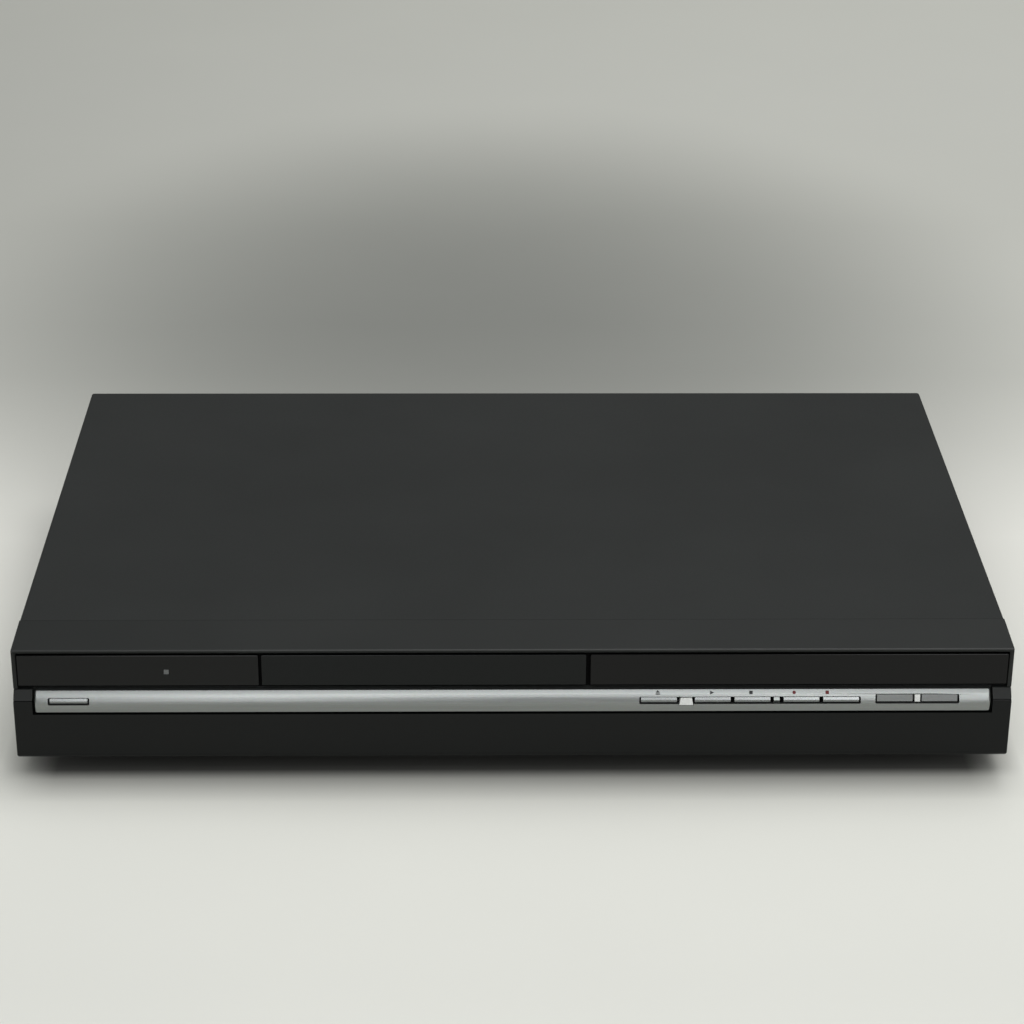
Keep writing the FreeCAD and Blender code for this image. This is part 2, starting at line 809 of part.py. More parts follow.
def front_frame():
    tongue_y = crease_y + s.tongue_length
    tongue_z = under_cover_z - 0.2
    visor_z = top_z - s.visor_drop
    section = [
        (tongue_y, tongue_z),
        (crease_y, tongue_z),
        (crease_y, top_z - s.crease_drop),
        (face_y, visor_z),
        (face_y, lip_z),
        (wall_y, lip_z),
        (wall_y, base_z),
        (crease_y - s.frame_inset, base_z),
        (crease_y - s.frame_inset, base_z + s.panel_wall),
        (wall_back_y, base_z + s.panel_wall),
        (wall_back_y, lip_z - 0.4),
        (tongue_y, tongue_z - s.panel_wall),
    ]
    shell = prism("x", (-half_width, half_width), section, [(s.visor_round, (3,))])
    notch_top = top_z - s.notch_drop
    notch_low = notch_top - s.notch_height
    end_outline = [
        (crease_y, base_z),
        (wall_y, base_z),
        (wall_y, cheek_z),
        (face_y - s.cheek_reach, cheek_z),
        (face_y + 0.35, notch_low),
        (face_y + s.notch_depth, notch_low),
        (face_y + s.notch_depth, notch_top),
        (face_y, notch_top),
        (face_y, visor_z),
        (crease_y, top_z - s.crease_drop),
    ]
    cheek_outline = [
        (wall_y, cheek_z),
        (face_y - s.cheek_reach, cheek_z),
        (face_y + 0.35, notch_low),
        (wall_y, notch_low),
    ]
    inner_x = half_width - s.end_wall
    ends = [
        prism("x", (-half_width, -inner_x), end_outline, [(s.visor_round, (8,))]),
        prism("x", (inner_x, half_width), end_outline, [(s.visor_round, (8,))]),
        prism("x", (-inner_x, -cheek_x), cheek_outline),
        prism("x", (cheek_x, inner_x), cheek_outline),
    ]
    lugs = []
    bores = []
    for x in lug_places:
        span = around(x, s.lug_width)
        lugs.append(rod("x", (hinge_y, hinge_z), s.flap_bead, span))
        lugs.append(box(span, (hinge_y, wall_y), (hinge_z - s.flap_bead, hinge_z + s.flap_bead)))
        bore_span = (span[0] - 1, span[1] + 1)
        bores.append(rod("x", (hinge_y, hinge_z), s.flap_pin + s.shaft_gap, bore_span))
    through = (wall_y - 1, wall_back_y + 1)
    tray_half = s.tray_width / 2 + s.tray_wing_width + 1.2
    openings = [
        box((drive_x - tray_half, drive_x + tray_half), through, (strip_top + 0.2, window_top)),
        box((tube_left - 4, tube_right + 4), through, (s.tube_low - 1, s.tube_high + 1)),
    ]
    for middle, width in key_places.values():
        slot = box(around(middle, width), through, (key_bottom - 0.6, key_top + 0.6))
        openings.append(slot)
    openings.extend(front_jack_holes(through))
    tongue_half = half_width - s.tongue_inset
    for side in (-1, 1):
        span = in_order(side * tongue_half, side * (half_width + 1))
        openings.append(box(span, (crease_y, tongue_y + 1), (tongue_z - 2 * s.panel_wall, top_z + 1)))
    bosses = []
    for centre in front_boss_places:
        bosses.append(rod("y", centre, s.pillar_radius, (wall_back_y - 0.5, front_board_y)))
        bores.append(screw_hole("y", centre, (wall_back_y + 0.5, front_board_y + 1)))
    for spot in jack_boss_places:
        bosses.append(post(spot, s.pillar_radius, base_z + 0.5, jack_board_low))
    moulding = carve(join(shell, *ends, *lugs, *bosses), *openings, *bores)
    node("front_frame", moulding)


def front_jack_holes(through):
    """Openings in the front wall for the sockets behind the flap."""
    tall = around(s.front_jack_height, s.flat_socket_height + s.free_gap)
    holes = [
        box(around(data_socket_x, s.data_socket_width + s.free_gap), through, tall),
        box(around(digital_socket_x, s.digital_socket_width + s.free_gap), through, tall),
    ]
    round_spot = (round_socket_x, s.front_jack_height)
    holes.append(rod("y", round_spot, s.round_socket_radius + s.free_gap, through))
    for x in front_phono_places:
        holes.append(rod("y", (x, s.front_jack_height), s.phono_radius + s.free_gap, through))
    return holes


def windows():
    """The smoked panes left and right of the tray door."""
    side = half_width - s.end_wall - 0.2
    panes = {
        "left_window": (-side, door_left - s.door_gap_left),
        "display_window": (door_right + s.door_gap_right, side),
    }
    for name, span in panes.items():
        pane = slab(span, (window_front_y, wall_y), (window_bottom, window_top), "y", s.door_round)
        if name == "left_window":
            pip = (
                around(standby_lens_x, s.standby_lens_size),
                (window_front_y - 1, window_front_y + 1),
                around(top_z - s.standby_lens_drop, s.standby_lens_size),
            )
            pane = carve(pane, box(*pip))
        node(name, pane)


def tray_door():
    face = slab(
        (door_left, door_right),
        (window_front_y, wall_y - s.free_gap),
        (window_bottom, window_top),
        "y",
        s.door_round,
    )
    half = s.tray_width / 2 - 2
    tongue_z = (tray_bottom + 0.5, tray_top - 0.5)
    tongue = box((drive_x - half, drive_x + half), (wall_y - 0.5, tray_front_y), tongue_z)
    node("tray_door", join(face, tongue))


# Silver strip, keys and lenses

strip_shoulder_y = front_y + s.strip_top_setback
nose_y = front_y - s.strip_nose_reach
nose_z = top_z - s.strip_nose_drop
select_top = top_z - s.select_top_drop
slot_depth = (front_y - 1, strip_shoulder_y + 1)


def key_end(name, side):
    """The left or right end of a key."""
    middle, width = key_places[name]
    return middle + side * width / 2


def key_slot(first, last, top):
    """The strip's opening from one key's left end to another's right end."""
    x = (key_end(first, -1) - s.key_side_gap, key_end(last, 1) + s.key_side_gap)
    z = (key_bottom - s.key_low_gap, top + s.key_top_gap)
    return slab(x, slot_depth, z, "y", s.key_slot_round)


def key_strip():
    outline = [
        (wall_y, strip_top),
        (strip_shoulder_y, strip_top),
        (nose_y, nose_z),
        (front_y + s.strip_bottom_setback, strip_bottom),
        (wall_y, strip_bottom),
    ]
    solid = prism("x", (-strip_half, strip_half), outline, [(s.strip_round, (2,))])
    wall = s.strip_wall
    hollow = [
        (wall_y + 1, strip_top - wall),
        (strip_shoulder_y + wall * 0.6, strip_top - wall),
        (front_y + wall, nose_z - wall * 0.4),
        (front_y + wall, strip_bottom + wall),
        (wall_y + 1, strip_bottom + wall),
    ]
    hollow_half = strip_half - wall
    lens_span = around(key_lens_x, s.key_lens_width + s.free_gap)
    lens_low = top_z - s.key_lens_low_drop
    tools = [
        prism("x", (-hollow_half, hollow_half), hollow),
        key_slot("power_key", "power_key", key_top),
        key_slot("eject_key", "record_stop_key", key_top),
        key_slot("hard_disk_key", "disc_key", select_top),
        box(lens_span, slot_depth, (lens_low - 0.1, key_middle)),
    ]
    spacer_span = around(spacer_x, s.spacer_width)
    spacer = prism("x", spacer_span, key_outline())
    spacer_root = box(spacer_span, (front_y + wall - 0.2, key_back_y), (key_bottom - 1.5, key_top + 1.5))
    node("key_strip", join(carve(solid, *tools), spacer, spacer_root))


def key_outline():
    """A key's section: a sloping upper facet, a lower one that leans in, and a flat back."""
    return [
        (key_back_y, key_top),
        (front_y + s.key_top_setback, key_top),
        (front_y + s.key_ridge_setback, top_z - s.key_ridge_drop),
        (front_y + s.key_low_setback, key_bottom),
        (key_back_y, key_bottom),
    ]


def select_outline():
    """The two selecting keys and the lens between them have one plain sloping face."""
    return [
        (key_back_y, select_top),
        (front_y + s.select_top_setback, select_top),
        (front_y + s.select_low_setback, key_bottom),
        (key_back_y, key_bottom),
    ]


def keys():
    for name, (middle, width) in key_places.items():
        if name in select_keys:
            cap = prism("x", around(middle, width), select_outline(), [(0.3, (1, 2))])
        else:
            cap = prism("x", around(middle, width), key_outline(), [(0.3, (1, 2))])
        stem = box(
            around(middle, s.key_stem_width),
            (key_back_y - 0.5, front_board_y - s.switch_depth - s.key_travel - 0.1),
            around(key_middle, s.key_stem_height),
        )
        node(name, join(cap, stem))


def indicator_lenses():
    """Frosted lenses beside the keys, and the small standby lens in the left window."""
    left, right = around(key_lens_x, s.key_lens_width)
    low = top_z - s.key_lens_low_drop
    high = top_z - s.key_lens_top_drop
    corners = [
        (left, low),
        (right, low),
        (right - s.key_lens_taper, high),
        (left + s.key_lens_taper, high),
    ]
    wedge = prism("y", (front_y, key_back_y), corners)
    lean = prism(
        "x",
        (left - 1, right + 1),
        [
            (front_y - 1, low - 1),
            (front_y + 0.1, low - 1),
            (front_y + 0.1, low),
            (front_y + s.key_lens_lean, high),
            (front_y + s.key_lens_lean, high + 1),
            (front_y - 1, high + 1),
        ],
    )
    select_lens = prism("x", around(select_lens_x, s.select_lens_width), select_outline())
    pieces = [carve(wedge, lean), select_lens]
    height = top_z - s.standby_lens_drop
    pieces.append(
        box(
            around(standby_lens_x, s.standby_lens_size),
            (window_front_y + 0.1, window_front_y + 1),
            around(height, s.standby_lens_size),
        )
    )
    node("indicator_lenses", bundle(*pieces))


def front_flap():
    plate_outline = [
        (flap_face_y, flap_top),
        (flap_face_y, flap_bottom),
        (flap_back_y, flap_bottom),
        (flap_back_y, flap_top),
    ]
    plate = prism("x", (-half_width, half_width), plate_outline, [(s.flap_thickness * 0.95, (1,))])
    end_top = top_z - s.flap_end_drop
    end_outline = [
        (flap_face_y, flap_top - 1),
        (flap_back_y, flap_top - 1),
        (flap_back_y, end_top),
        (flap_face_y + 0.3, end_top),
        (flap_face_y, end_top - s.flap_end_slope),
    ]
    pieces = [plate]
    for span in ((-half_width, -cheek_x), (cheek_x, half_width)):
        pieces.append(prism("x", span, end_outline))
    pockets = []
    pins = []
    for x in lug_places:
        span = around(x, s.lug_width + 2 * s.free_gap)
        wide = around(x, s.lug_width + 8)
        pieces.append(rod("x", (hinge_y, hinge_z), s.flap_bead, wide))
        reach = s.flap_bead + s.free_gap
        pockets.append(box(span, (hinge_y - reach, hinge_y + 4), (flap_bottom - 1, hinge_z + reach + 1)))
        pins.append(rod("x", (hinge_y, hinge_z), s.flap_pin, (span[0] - 1, span[1] + 1)))
    node("front_flap", join(carve(join(*pieces), *pockets), *pins))


# Rear panel and its sockets

def phono_column_places():
    return [phono_first_x + column * s.phono_column_pitch for column in range(3)]


def phono_heights():
    return [s.phono_low + row * s.phono_pitch for row in range(3)]


def scart_heights():
    return [s.scart_low, s.scart_low + s.scart_pitch]


aerial_middle = half_width - s.aerial_inset
aerial_places = [aerial_middle - s.aerial_pitch / 2, aerial_middle + s.aerial_pitch / 2]
aerial_z = s.aerial_height
inlet_x = power_board_left + s.inlet_from_edge
scart_x = s.main_board_left + s.scart_from_edge
phono_first_x = s.main_board_left + s.phono_first
video_socket_x = s.main_board_left + s.video_from_edge
optical_socket_x = s.main_board_left + s.optical_from_edge
socket_z = board_top + 6.0


def rear_panel():
    bottom = floor_z + s.free_gap
    top = under_cover_z - s.free_gap
    through = (panel_front_y - 1, panel_back_y + 1)
    plate = box((-chassis_half, chassis_half), (panel_front_y, panel_back_y), (bottom, top))
    gap = s.free_gap
    tools = []
    for x in phono_column_places():
        for z in phono_heights():
            tools.append(rod("y", (x, z), s.phono_radius + gap, through))
    for z in scart_heights():
        tools.append(box(around(scart_x, s.scart_width + gap), through, around(z, s.scart_height + gap)))
    for x in aerial_places:
        tools.append(rod("y", (x, aerial_z), s.aerial_radius + gap, through))
    tools.append(box(around(video_socket_x, 15.4), through, around(socket_z, 6.4)))
    tools.append(box(around(optical_socket_x, 10.4), through, around(socket_z, 10.4)))
    inlet_z = around(s.inlet_height, s.inlet_tall + gap)
    tools.append(box(around(inlet_x, s.inlet_width + gap), through, inlet_z))
    for x in rear_screw_places:
        tools.append(screw_hole("y", (x, rear_screw_z), through))
    rows = 7
    for row in range(rows):
        step = row - (rows - 1) / 2
        z = fan_spot[1] + step * s.grille_pitch
        half = math.sqrt(1 - (step / 4.4) ** 2)
        for side in (-1, 1):
            ends = sorted((side * 1.6, side * (s.fan_bore.value - 1.2) * half))
            share = [fan_spot[0] + end * s.fan_bore / s.fan_bore.value for end in ends]
            tools.append(box(share, through, around(z, s.grille_slot)))
    node("rear_panel", carve(plate, *tools))


def phono_sockets():
    blocks = []
    sleeves = []
    back = panel_front_y - s.free_gap
    for x in phono_column_places():
        low = board_top
        high = phono_heights()[-1] + s.phono_pitch / 2
        block = box(around(x, s.phono_block), (back - 11, back), (low, high))
        bores = [rod("y", (x, z), s.phono_radius, (back - 2, back + 1)) for z in phono_heights()]
        blocks.append(carve(block, *bores))
        for z in phono_heights():
            outer = rod("y", (x, z), s.phono_radius, (back - 2, reach_back_y - 0.8))
            bore = rod("y", (x, z), s.phono_bore, (back - 1, reach_back_y))
            sleeves.append(carve(outer, bore))
    node("phono_blocks", bundle(*blocks))
    node("phono_sleeves", bundle(*sleeves))


def scart_sockets():
    pieces = []
    back = panel_back_y + 1.2
    front = panel_front_y - 12
    for z in scart_heights():
        body = box(around(scart_x, s.scart_width), (front, back), around(z, s.scart_height))
        inner = box(
            around(scart_x, s.scart_width - 2 * s.scart_shell),
            (back - 9, back + 1),
            around(z, s.scart_height - 2 * s.scart_shell),
        )
        tongue = box(around(scart_x, s.scart_width - 8), (back - 9.5, back - 1), around(z, 4))
        pieces.append(join(carve(body, inner), tongue))
    half = s.scart_height / 2
    heights = scart_heights()
    stand = (around(scart_x, s.scart_width - 4), (front, front + 8))
    low = box(*stand, (board_top, heights[0] - half))
    between = box(*stand, (heights[0] + half, heights[1] - half))
    node("scart_sockets", join(*pieces, low, between))


def digital_sockets():
    """The digital video socket and the optical sound socket."""
    back = panel_back_y + 0.4
    front = panel_front_y - 9
    video = box(around(video_socket_x, 15), (front, back), around(socket_z, 6))
    video_hollow = box(around(video_socket_x, 13.9), (back - 8, back + 1), around(socket_z, 4.6))
    video_tongue = box(around(video_socket_x, 11), (back - 8.5, back - 0.8), around(socket_z, 1))
    video_foot = box(around(video_socket_x, 13), (front, front + 7), (board_top, socket_z - 2))
    optical = box(around(optical_socket_x, 10), (front, back), around(socket_z, 10))
    optical_hollow = box(around(optical_socket_x, 6), (back - 6, back + 1), around(socket_z, 6))
    optical_foot = box(around(optical_socket_x, 9), (front, front + 7), (board_top, socket_z - 4))
    node(
        "digital_sockets",
        bundle(
            join(carve(video, video_hollow), video_tongue, video_foot),
            join(carve(optical, optical_hollow), optical_foot),
        ),
    )


def tuner_can():
    """The tuner's screened can with its two aerial sockets."""
    x = (aerial_places[0] + aerial_places[1]) / 2
    back = panel_front_y - s.free_gap
    can_z = (board_top, board_top + s.tuner_height)
    can = box(around(x, s.tuner_width), (back - s.tuner_length, back), can_z)
    sleeves = []
    bores = []
    for place_x in aerial_places:
        sleeves.append(rod("y", (place_x, aerial_z), s.aerial_radius, (back - 1, reach_back_y)))
        bores.append(rod("y", (place_x, aerial_z), s.aerial_bore, (back + 1, reach_back_y + 1)))
    pins = [rod("y", (place_x, aerial_z), 0.9, (back, reach_back_y - 2)) for place_x in aerial_places]
    node("tuner_can", join(carve(join(can, *sleeves), *bores), *pins))


def mains_inlet():
    back = panel_back_y + 0.8
    x, z = inlet_x, s.inlet_height
    shell = box(around(x, s.inlet_width), (back - s.inlet_depth, back), around(z, s.inlet_tall))
    hollow = slab(
        around(x, s.inlet_width - 2 * s.inlet_wall),
        (back - s.inlet_depth + 5, back + 1),
        around(z, s.inlet_tall - 2 * s.inlet_wall),
        "y",
        4.0,
    )
    pins = []
    for side in (-1, 1):
        spot = (x + side * s.inlet_pin_spread, z)
        pins.append(rod("y", spot, s.inlet_pin, (back - s.inlet_depth + 4, back - 3)))
    foot_z = (board_top, z - s.inlet_tall / 2)
    foot = box(around(x, s.inlet_width - 6), (back - s.inlet_depth, back - 8), foot_z)
    node("mains_inlet", join(carve(shell, hollow), *pins, foot))


def fan():
    x, z = fan_spot
    back = panel_front_y
    front = back - s.fan_depth
    half = s.fan_size / 2
    frame = slab((x - half, x + half), (front, back), (z - half, z + half), "y", 3.0)
    bore = rod("y", fan_spot, s.fan_bore, (front - 1, back + 1))
    corners = [
        rod("y", (x + side * (half - 3), z + level * (half - 3)), 1.6, (front - 1, back + 1))
        for side in (-1, 1)
        for level in (-1, 1)
    ]
    hub = rod("y", fan_spot, s.fan_hub, (front, front + 2))
    arms = []
    for side in (-1, 1):
        ends = in_order(side * (s.fan_hub - 1), side * (s.fan_bore + 0.5))
        arms.append(box((x + ends[0], x + ends[1]), (front, front + 2), around(z, 2.4)))
        arms.append(box(around(x, 2.4), (front, front + 2), (z + ends[0], z + ends[1])))
    shaft_hole = rod("y", fan_spot, s.gear_pin + s.shaft_gap, (front - 1, front + 3))
    holder = carve(join(carve(frame, bore, *corners), hub, *arms), shaft_hole)
    node("fan_frame", holder)
    rotor_front = front + 2 + s.free_gap
    rotor_back = back - 1.2
    rotor_hub = rod("y", fan_spot, s.fan_hub, (rotor_front, rotor_back))
    shaft = rod("y", fan_spot, s.gear_pin, (front + 0.2, rotor_back))
    blades = []
    count = int(s.fan_blades.value)
    for index in range(count):
        blade = doc.addObject("Part::Box", "Blade")
        bind(blade, "Length", s.fan_bore - s.fan_hub - 0.2)
        bind(blade, "Width", 14.0)
        bind(blade, "Height", 1.0)
        tilt = FreeCAD.Rotation(FreeCAD.Vector(1, 0, 0), 38)
        turn = FreeCAD.Rotation(FreeCAD.Vector(0, 1, 0), 360 / count * index)
        blade.Placement.Rotation = turn.multiply(tilt)
        centre = FreeCAD.Vector(s.fan_hub.value - 0.6, -7.0, 0)
        offset = turn.multVec(FreeCAD.Vector(centre.x, 0, 0)) + turn.multVec(
            tilt.multVec(FreeCAD.Vector(0, centre.y, -0.5))
        )
        middle_y = (rotor_front + rotor_back) / 2
        place(blade, x + offset.x, middle_y + offset.y, z + offset.z)
        blades.append(blade)
    node("fan_rotor", join(rotor_hub, shaft, *blades))


# Disc drive

pitch = s.gear_module * math.pi
rack_root_x = drive_x - s.tray_width / 2 + s.rack_inset + s.rack_back
rack_pitch_x = rack_root_x + s.gear_module * 1.1
pinion_radius = s.gear_module * s.pinion_teeth / 2
wheel_radius = s.gear_module * s.wheel_teeth / 2
pulley_pinion_radius = s.gear_module * s.pulley_teeth / 2
tray_gear_spot = (rack_pitch_x + pinion_radius + 0.1, gear_row_y)
belt_pulley_spot = (tray_gear_spot[0] + wheel_radius + pulley_pinion_radius + 0.1, gear_row_y)
motor_spot = (drive_x + s.loading_motor_x, gear_row_y)
motor_top = drive_floor + s.loading_motor_height
pulley_low = motor_top + 0.8
pulley_rim = 0.8
pulley_height = s.belt_width + 0.6 + 2 * pulley_rim
wheel_low = pulley_low + pulley_height + 1.0
wheel_high = wheel_low + s.gear_width
wing_low = tray_bottom + 1.0
wing_high = wing_low + s.tray_wing_thickness
wing_half = s.tray_width / 2 + s.tray_wing_width
drive_half = s.drive_width / 2
drive_inner = drive_half - s.drive_wall
drive_top = drive_low + s.drive_side_height
traverse_top = s.traverse_height + s.traverse_sheet
hinge_spot = (traverse_hinge_y, s.traverse_height + 1)
rod_z = s.traverse_height + s.rod_height
pickup_front_y = disc_centre_y + s.pickup_offset - s.pickup_length / 2
pickup_back_y = pickup_front_y + s.pickup_length
rod_span = (disc_centre_y + 5, pickup_back_y + s.pickup_travel + s.rod_spare)
rod_holder_span = 4.0
rod_holder_top = rod_z + 2.1
spindle_top = s.traverse_height + 11.8
turntable_low = spindle_top + 0.4
turntable_high = turntable_low + s.turntable_thickness
cone_top = turntable_high + s.turntable_cone_height
clamp_low = tray_top + s.clamp_gap
motor_front_y = rod_span[1] + 0.5


def tooth_profile():
    """Half the tooth's width at its root and tip, and its depth below and above the pitch line."""
    module = s.gear_module.value
    middle = math.pi * module / 4 - 0.17
    lean = math.tan(math.radians(20)) * module
    return middle + lean, middle - lean * 0.8, module * 1.1, module * 0.8


def toothed_ring(centre, teeth, low, high, bore, first_tooth):
    """A spur gear with straight-flanked teeth; first_tooth is the angle of one tooth in degrees."""
    root_half, tip_half, depth, height = tooth_profile()
    count = int(teeth.value)
    pitch_radius = s.gear_module.value * count / 2
    root_radius = pitch_radius - depth
    tip_radius = pitch_radius + height
    points = []
    for index in range(count):
        angle = math.radians(first_tooth + 360 * index / count)
        for radius, half in (
            (root_radius, -root_half),
            (tip_radius, -tip_half),
            (tip_radius, tip_half),
            (root_radius, root_half),
        ):
            turn = angle + half / radius
            points.append(FreeCAD.Vector(radius * math.cos(turn), radius * math.sin(turn), 0))
    points.append(points[0])
    face = Part.Face(Part.makePolygon(points))
    ring = face.extrude(FreeCAD.Vector(0, 0, as_size(high - low).value))
    hole = rod("z", centre, bore, (low - 1, high + 1))
    return carve(solid_from(ring, *centre, low), hole)


def tray_rack():
    """The rack under the tray's left edge, its teeth facing the gear."""
    root_half, tip_half, depth, height = tooth_profile()
    step = pitch.value
    pitch_x = rack_pitch_x.value
    teeth = math.ceil(s.tray_travel.value / step) + int(s.rack_spare_teeth.value)
    first = gear_row_y.value - 1.5 * step
    back_x = (rack_root_x - s.rack_back).value
    points = [FreeCAD.Vector(back_x, first - step / 2, 0)]
    for index in range(teeth):
        middle = first + index * step
        points.append(FreeCAD.Vector(pitch_x - depth, middle - root_half, 0))
        points.append(FreeCAD.Vector(pitch_x + height, middle - tip_half, 0))
        points.append(FreeCAD.Vector(pitch_x + height, middle + tip_half, 0))
        points.append(FreeCAD.Vector(pitch_x - depth, middle + root_half, 0))
    points.append(FreeCAD.Vector(back_x, first + (teeth - 0.5) * step, 0))
    points.append(points[0])
    shape = Part.Face(Part.makePolygon(points)).extrude(FreeCAD.Vector(0, 0, s.rack_height.value + 0.5))
    return solid_from(shape, z=tray_bottom - s.rack_height)


def disc_tray():
    half = s.tray_width / 2
    y = (tray_front_y, tray_back_y)
    plate = slab((drive_x - half, drive_x + half), y, (tray_bottom, tray_top), "z", 2.0)
    wings = []
    for side in (-1, 1):
        ends = in_order(side * (half - 1), side * wing_half)
        wings.append(box((drive_x + ends[0], drive_x + ends[1]), (y[0] + 4, y[1]), (wing_low, wing_high)))
    well = rod("z", disc_spot, s.disc_radius + 0.6, (tray_top - s.disc_well_depth, tray_top + 1))
    small_low = tray_top - s.disc_well_depth - s.small_well_depth
    small_well = rod("z", disc_spot, s.small_disc_radius + 0.5, (small_low, tray_top))
    hole = rod("z", disc_spot, s.tray_hole_radius, (tray_bottom - 1, tray_top + 1))
    slot_half = s.tray_slot_width / 2
    slot_span = (drive_x - slot_half, drive_x + slot_half)
    slot = box(slot_span, (disc_centre_y, disc_centre_y + 78), (tray_bottom - 1, tray_top + 1))
    node("disc_tray", carve(join(plate, *wings, tray_rack()), well, small_well, hole, slot))


def drive_base():
    span = (drive_x - drive_half, drive_x + drive_half)
    y = (drive_front_y, drive_back_y)
    pieces = [box(span, y, (drive_low, drive_floor))]
    for side in (-1, 1):
        wall = in_order(side * drive_inner, side * drive_half)
        pieces.append(box((drive_x + wall[0], drive_x + wall[1]), y, (drive_low, drive_top)))
        rail = in_order(side * (s.tray_width / 2 + 0.6), side * (drive_inner + 0.5))
        rail_x = (drive_x + rail[0], drive_x + rail[1])
        pieces.append(box(rail_x, y, (wing_low - s.free_gap - 2.2, wing_low - s.free_gap)))
        pieces.append(box(rail_x, y, (wing_high + s.free_gap, wing_high + s.free_gap + 1.8)))
        foot_x = drive_x + side * (drive_half - s.drive_foot_inset)
        for foot_y in (y[0] + s.drive_foot_front, y[1] - s.drive_foot_back):
            pieces.append(post((foot_x, foot_y), s.drive_foot_radius, floor_z, drive_low + 0.5))
    pieces.append(box(span, (y[1] - s.drive_wall, y[1]), (drive_low, wing_low - 4)))
    for spot, shoulder, top in (
        (tray_gear_spot, wheel_low - s.free_gap, tray_bottom - 1.0),
        (belt_pulley_spot, pulley_low - s.free_gap, wheel_high + 0.6),
    ):
        pieces.append(post(spot, 3.6, drive_floor - 0.5, shoulder))
        pieces.append(post(spot, s.gear_pin, drive_floor - 0.5, top))
    bores = []
    for side in (-1, 1):
        ends = in_order(side * (s.traverse_half_width + 1.5), side * (s.traverse_half_width + 7))
        lug_x = (drive_x + ends[0], drive_x + ends[1])
        pieces.append(box(lug_x, around(hinge_spot[0], 8.0), (drive_floor - 0.5, hinge_spot[1] + 4)))
        bores.append(rod("x", hinge_spot, s.traverse_pin + s.shaft_gap, (lug_x[0] - 1, lug_x[1] + 1)))
        rest = (drive_x + side * (s.traverse_half_width - 6), disc_centre_y - s.traverse_front + 6)
        pieces.append(post(rest, 3.0, drive_floor - 0.5, s.traverse_height - 0.1))
    window = (disc_centre_y + 14, disc_centre_y + 84)
    bores.append(box(around(drive_x, 60), window, (drive_low - 1, drive_floor + 1)))
    node("drive_base", carve(join(*pieces), *bores))


def drive_cover():
    y = (drive_front_y + 14, drive_back_y)
    outer = drive_half + 0.1 + s.sheet
    plate = box((drive_x - outer, drive_x + outer), y, (drive_top, drive_top + s.sheet))
    pieces = [plate]
    for side in (-1, 1):
        ends = in_order(side * (drive_half + 0.1), side * outer)
        pieces.append(box((drive_x + ends[0], drive_x + ends[1]), y, (drive_top - 8, drive_top + 0.4)))
    hole = rod("z", disc_spot, s.clamp_radius + 1, (drive_top - 1, drive_top + 2))
    node("drive_cover", carve(join(*pieces), hole))


def disc_clamp():
    hub = rod("z", disc_spot, s.clamp_radius, (clamp_low, drive_top + s.sheet + 0.5))
    flange_low = drive_top + s.sheet + 0.1
    flange = rod("z", disc_spot, s.clamp_flange, (flange_low, flange_low + 1.4))
    well = rod("z", disc_spot, s.turntable_cone + 0.8, (clamp_low - 1, clamp_low + 3))
    node("disc_clamp", carve(join(hub, flange), well))


def loading_gears():
    bore = s.gear_pin + s.shaft_gap
    wheel = toothed_ring(tray_gear_spot, s.wheel_teeth, wheel_low, wheel_high, bore, 0)
    pinion = toothed_ring(tray_gear_spot, s.pinion_teeth, wheel_high, tray_bottom - 0.6, bore, 180)
    node("tray_gear", join(wheel, pinion))
    rim = s.pulley_radius + 1.2
    low = pulley_low
    top = pulley_low + pulley_height
    drum = rod("z", belt_pulley_spot, s.pulley_radius, (low, top))
    rims = [
        rod("z", belt_pulley_spot, rim, (low, low + pulley_rim)),
        rod("z", belt_pulley_spot, rim, (top - pulley_rim, top)),
    ]
    hole = rod("z", belt_pulley_spot, bore, (low - 1, top + 1))
    body = carve(join(drum, *rims), hole)
    half_tooth = 180 / s.pulley_teeth.value
    teeth = toothed_ring(belt_pulley_spot, s.pulley_teeth, top, wheel_high, bore, 180 + half_tooth)
    node("belt_pulley", join(body, teeth))
    rim = s.motor_pulley_radius + 1.0
    drum = rod("z", motor_spot, s.motor_pulley_radius, (low, top))
    rims = [
        rod("z", motor_spot, rim, (low, low + pulley_rim)),
        rod("z", motor_spot, rim, (top - pulley_rim, top)),
    ]
    shaft = rod("z", motor_spot, 1.0, (motor_top - 7, low + 0.5))
    node("motor_pulley", join(drum, *rims, shaft))
    can = rod("z", motor_spot, s.loading_motor_radius, (drive_floor, motor_top))
    hole = rod("z", motor_spot, 1.0 + s.shaft_gap, (motor_top - 8, motor_top + 1))
    node("loading_motor", carve(can, hole))


def belt_face(offset):
    """A face bounded by a belt line that lies a given distance outside both pulleys."""
    large = s.pulley_radius.value + offset
    small = s.motor_pulley_radius.value + offset
    start = belt_pulley_spot[0].value
    reach = motor_spot[0].value - start
    y = gear_row_y.value
    lean = math.asin((large - small) / reach)

    def spot(x, radius, angle):
        return FreeCAD.Vector(x + radius * math.cos(angle), y + radius * math.sin(angle), 0)

    upper = math.pi / 2 - lean
    left = Part.Arc(spot(start, large, upper), spot(start, large, math.pi), spot(start, large, -upper))
    far = start + reach
    right = Part.Arc(spot(far, small, upper), spot(far, small, 0), spot(far, small, -upper))
    edges = [
        left.toShape(),
        Part.LineSegment(spot(start, large, -upper), spot(far, small, -upper)).toShape(),
        right.toShape(),
        Part.LineSegment(spot(far, small, upper), spot(start, large, upper)).toShape(),
    ]
    return Part.Face(Part.Wire(Part.__sortEdges__(edges)))


def loading_belt():
    gap = s.free_gap.value
    ring = belt_face(gap + s.belt_thickness.value).cut(belt_face(gap))
    shape = ring.extrude(FreeCAD.Vector(0, 0, s.belt_width.value))
    node("loading_belt", solid_from(shape, z=pulley_low + pulley_rim + 0.3))


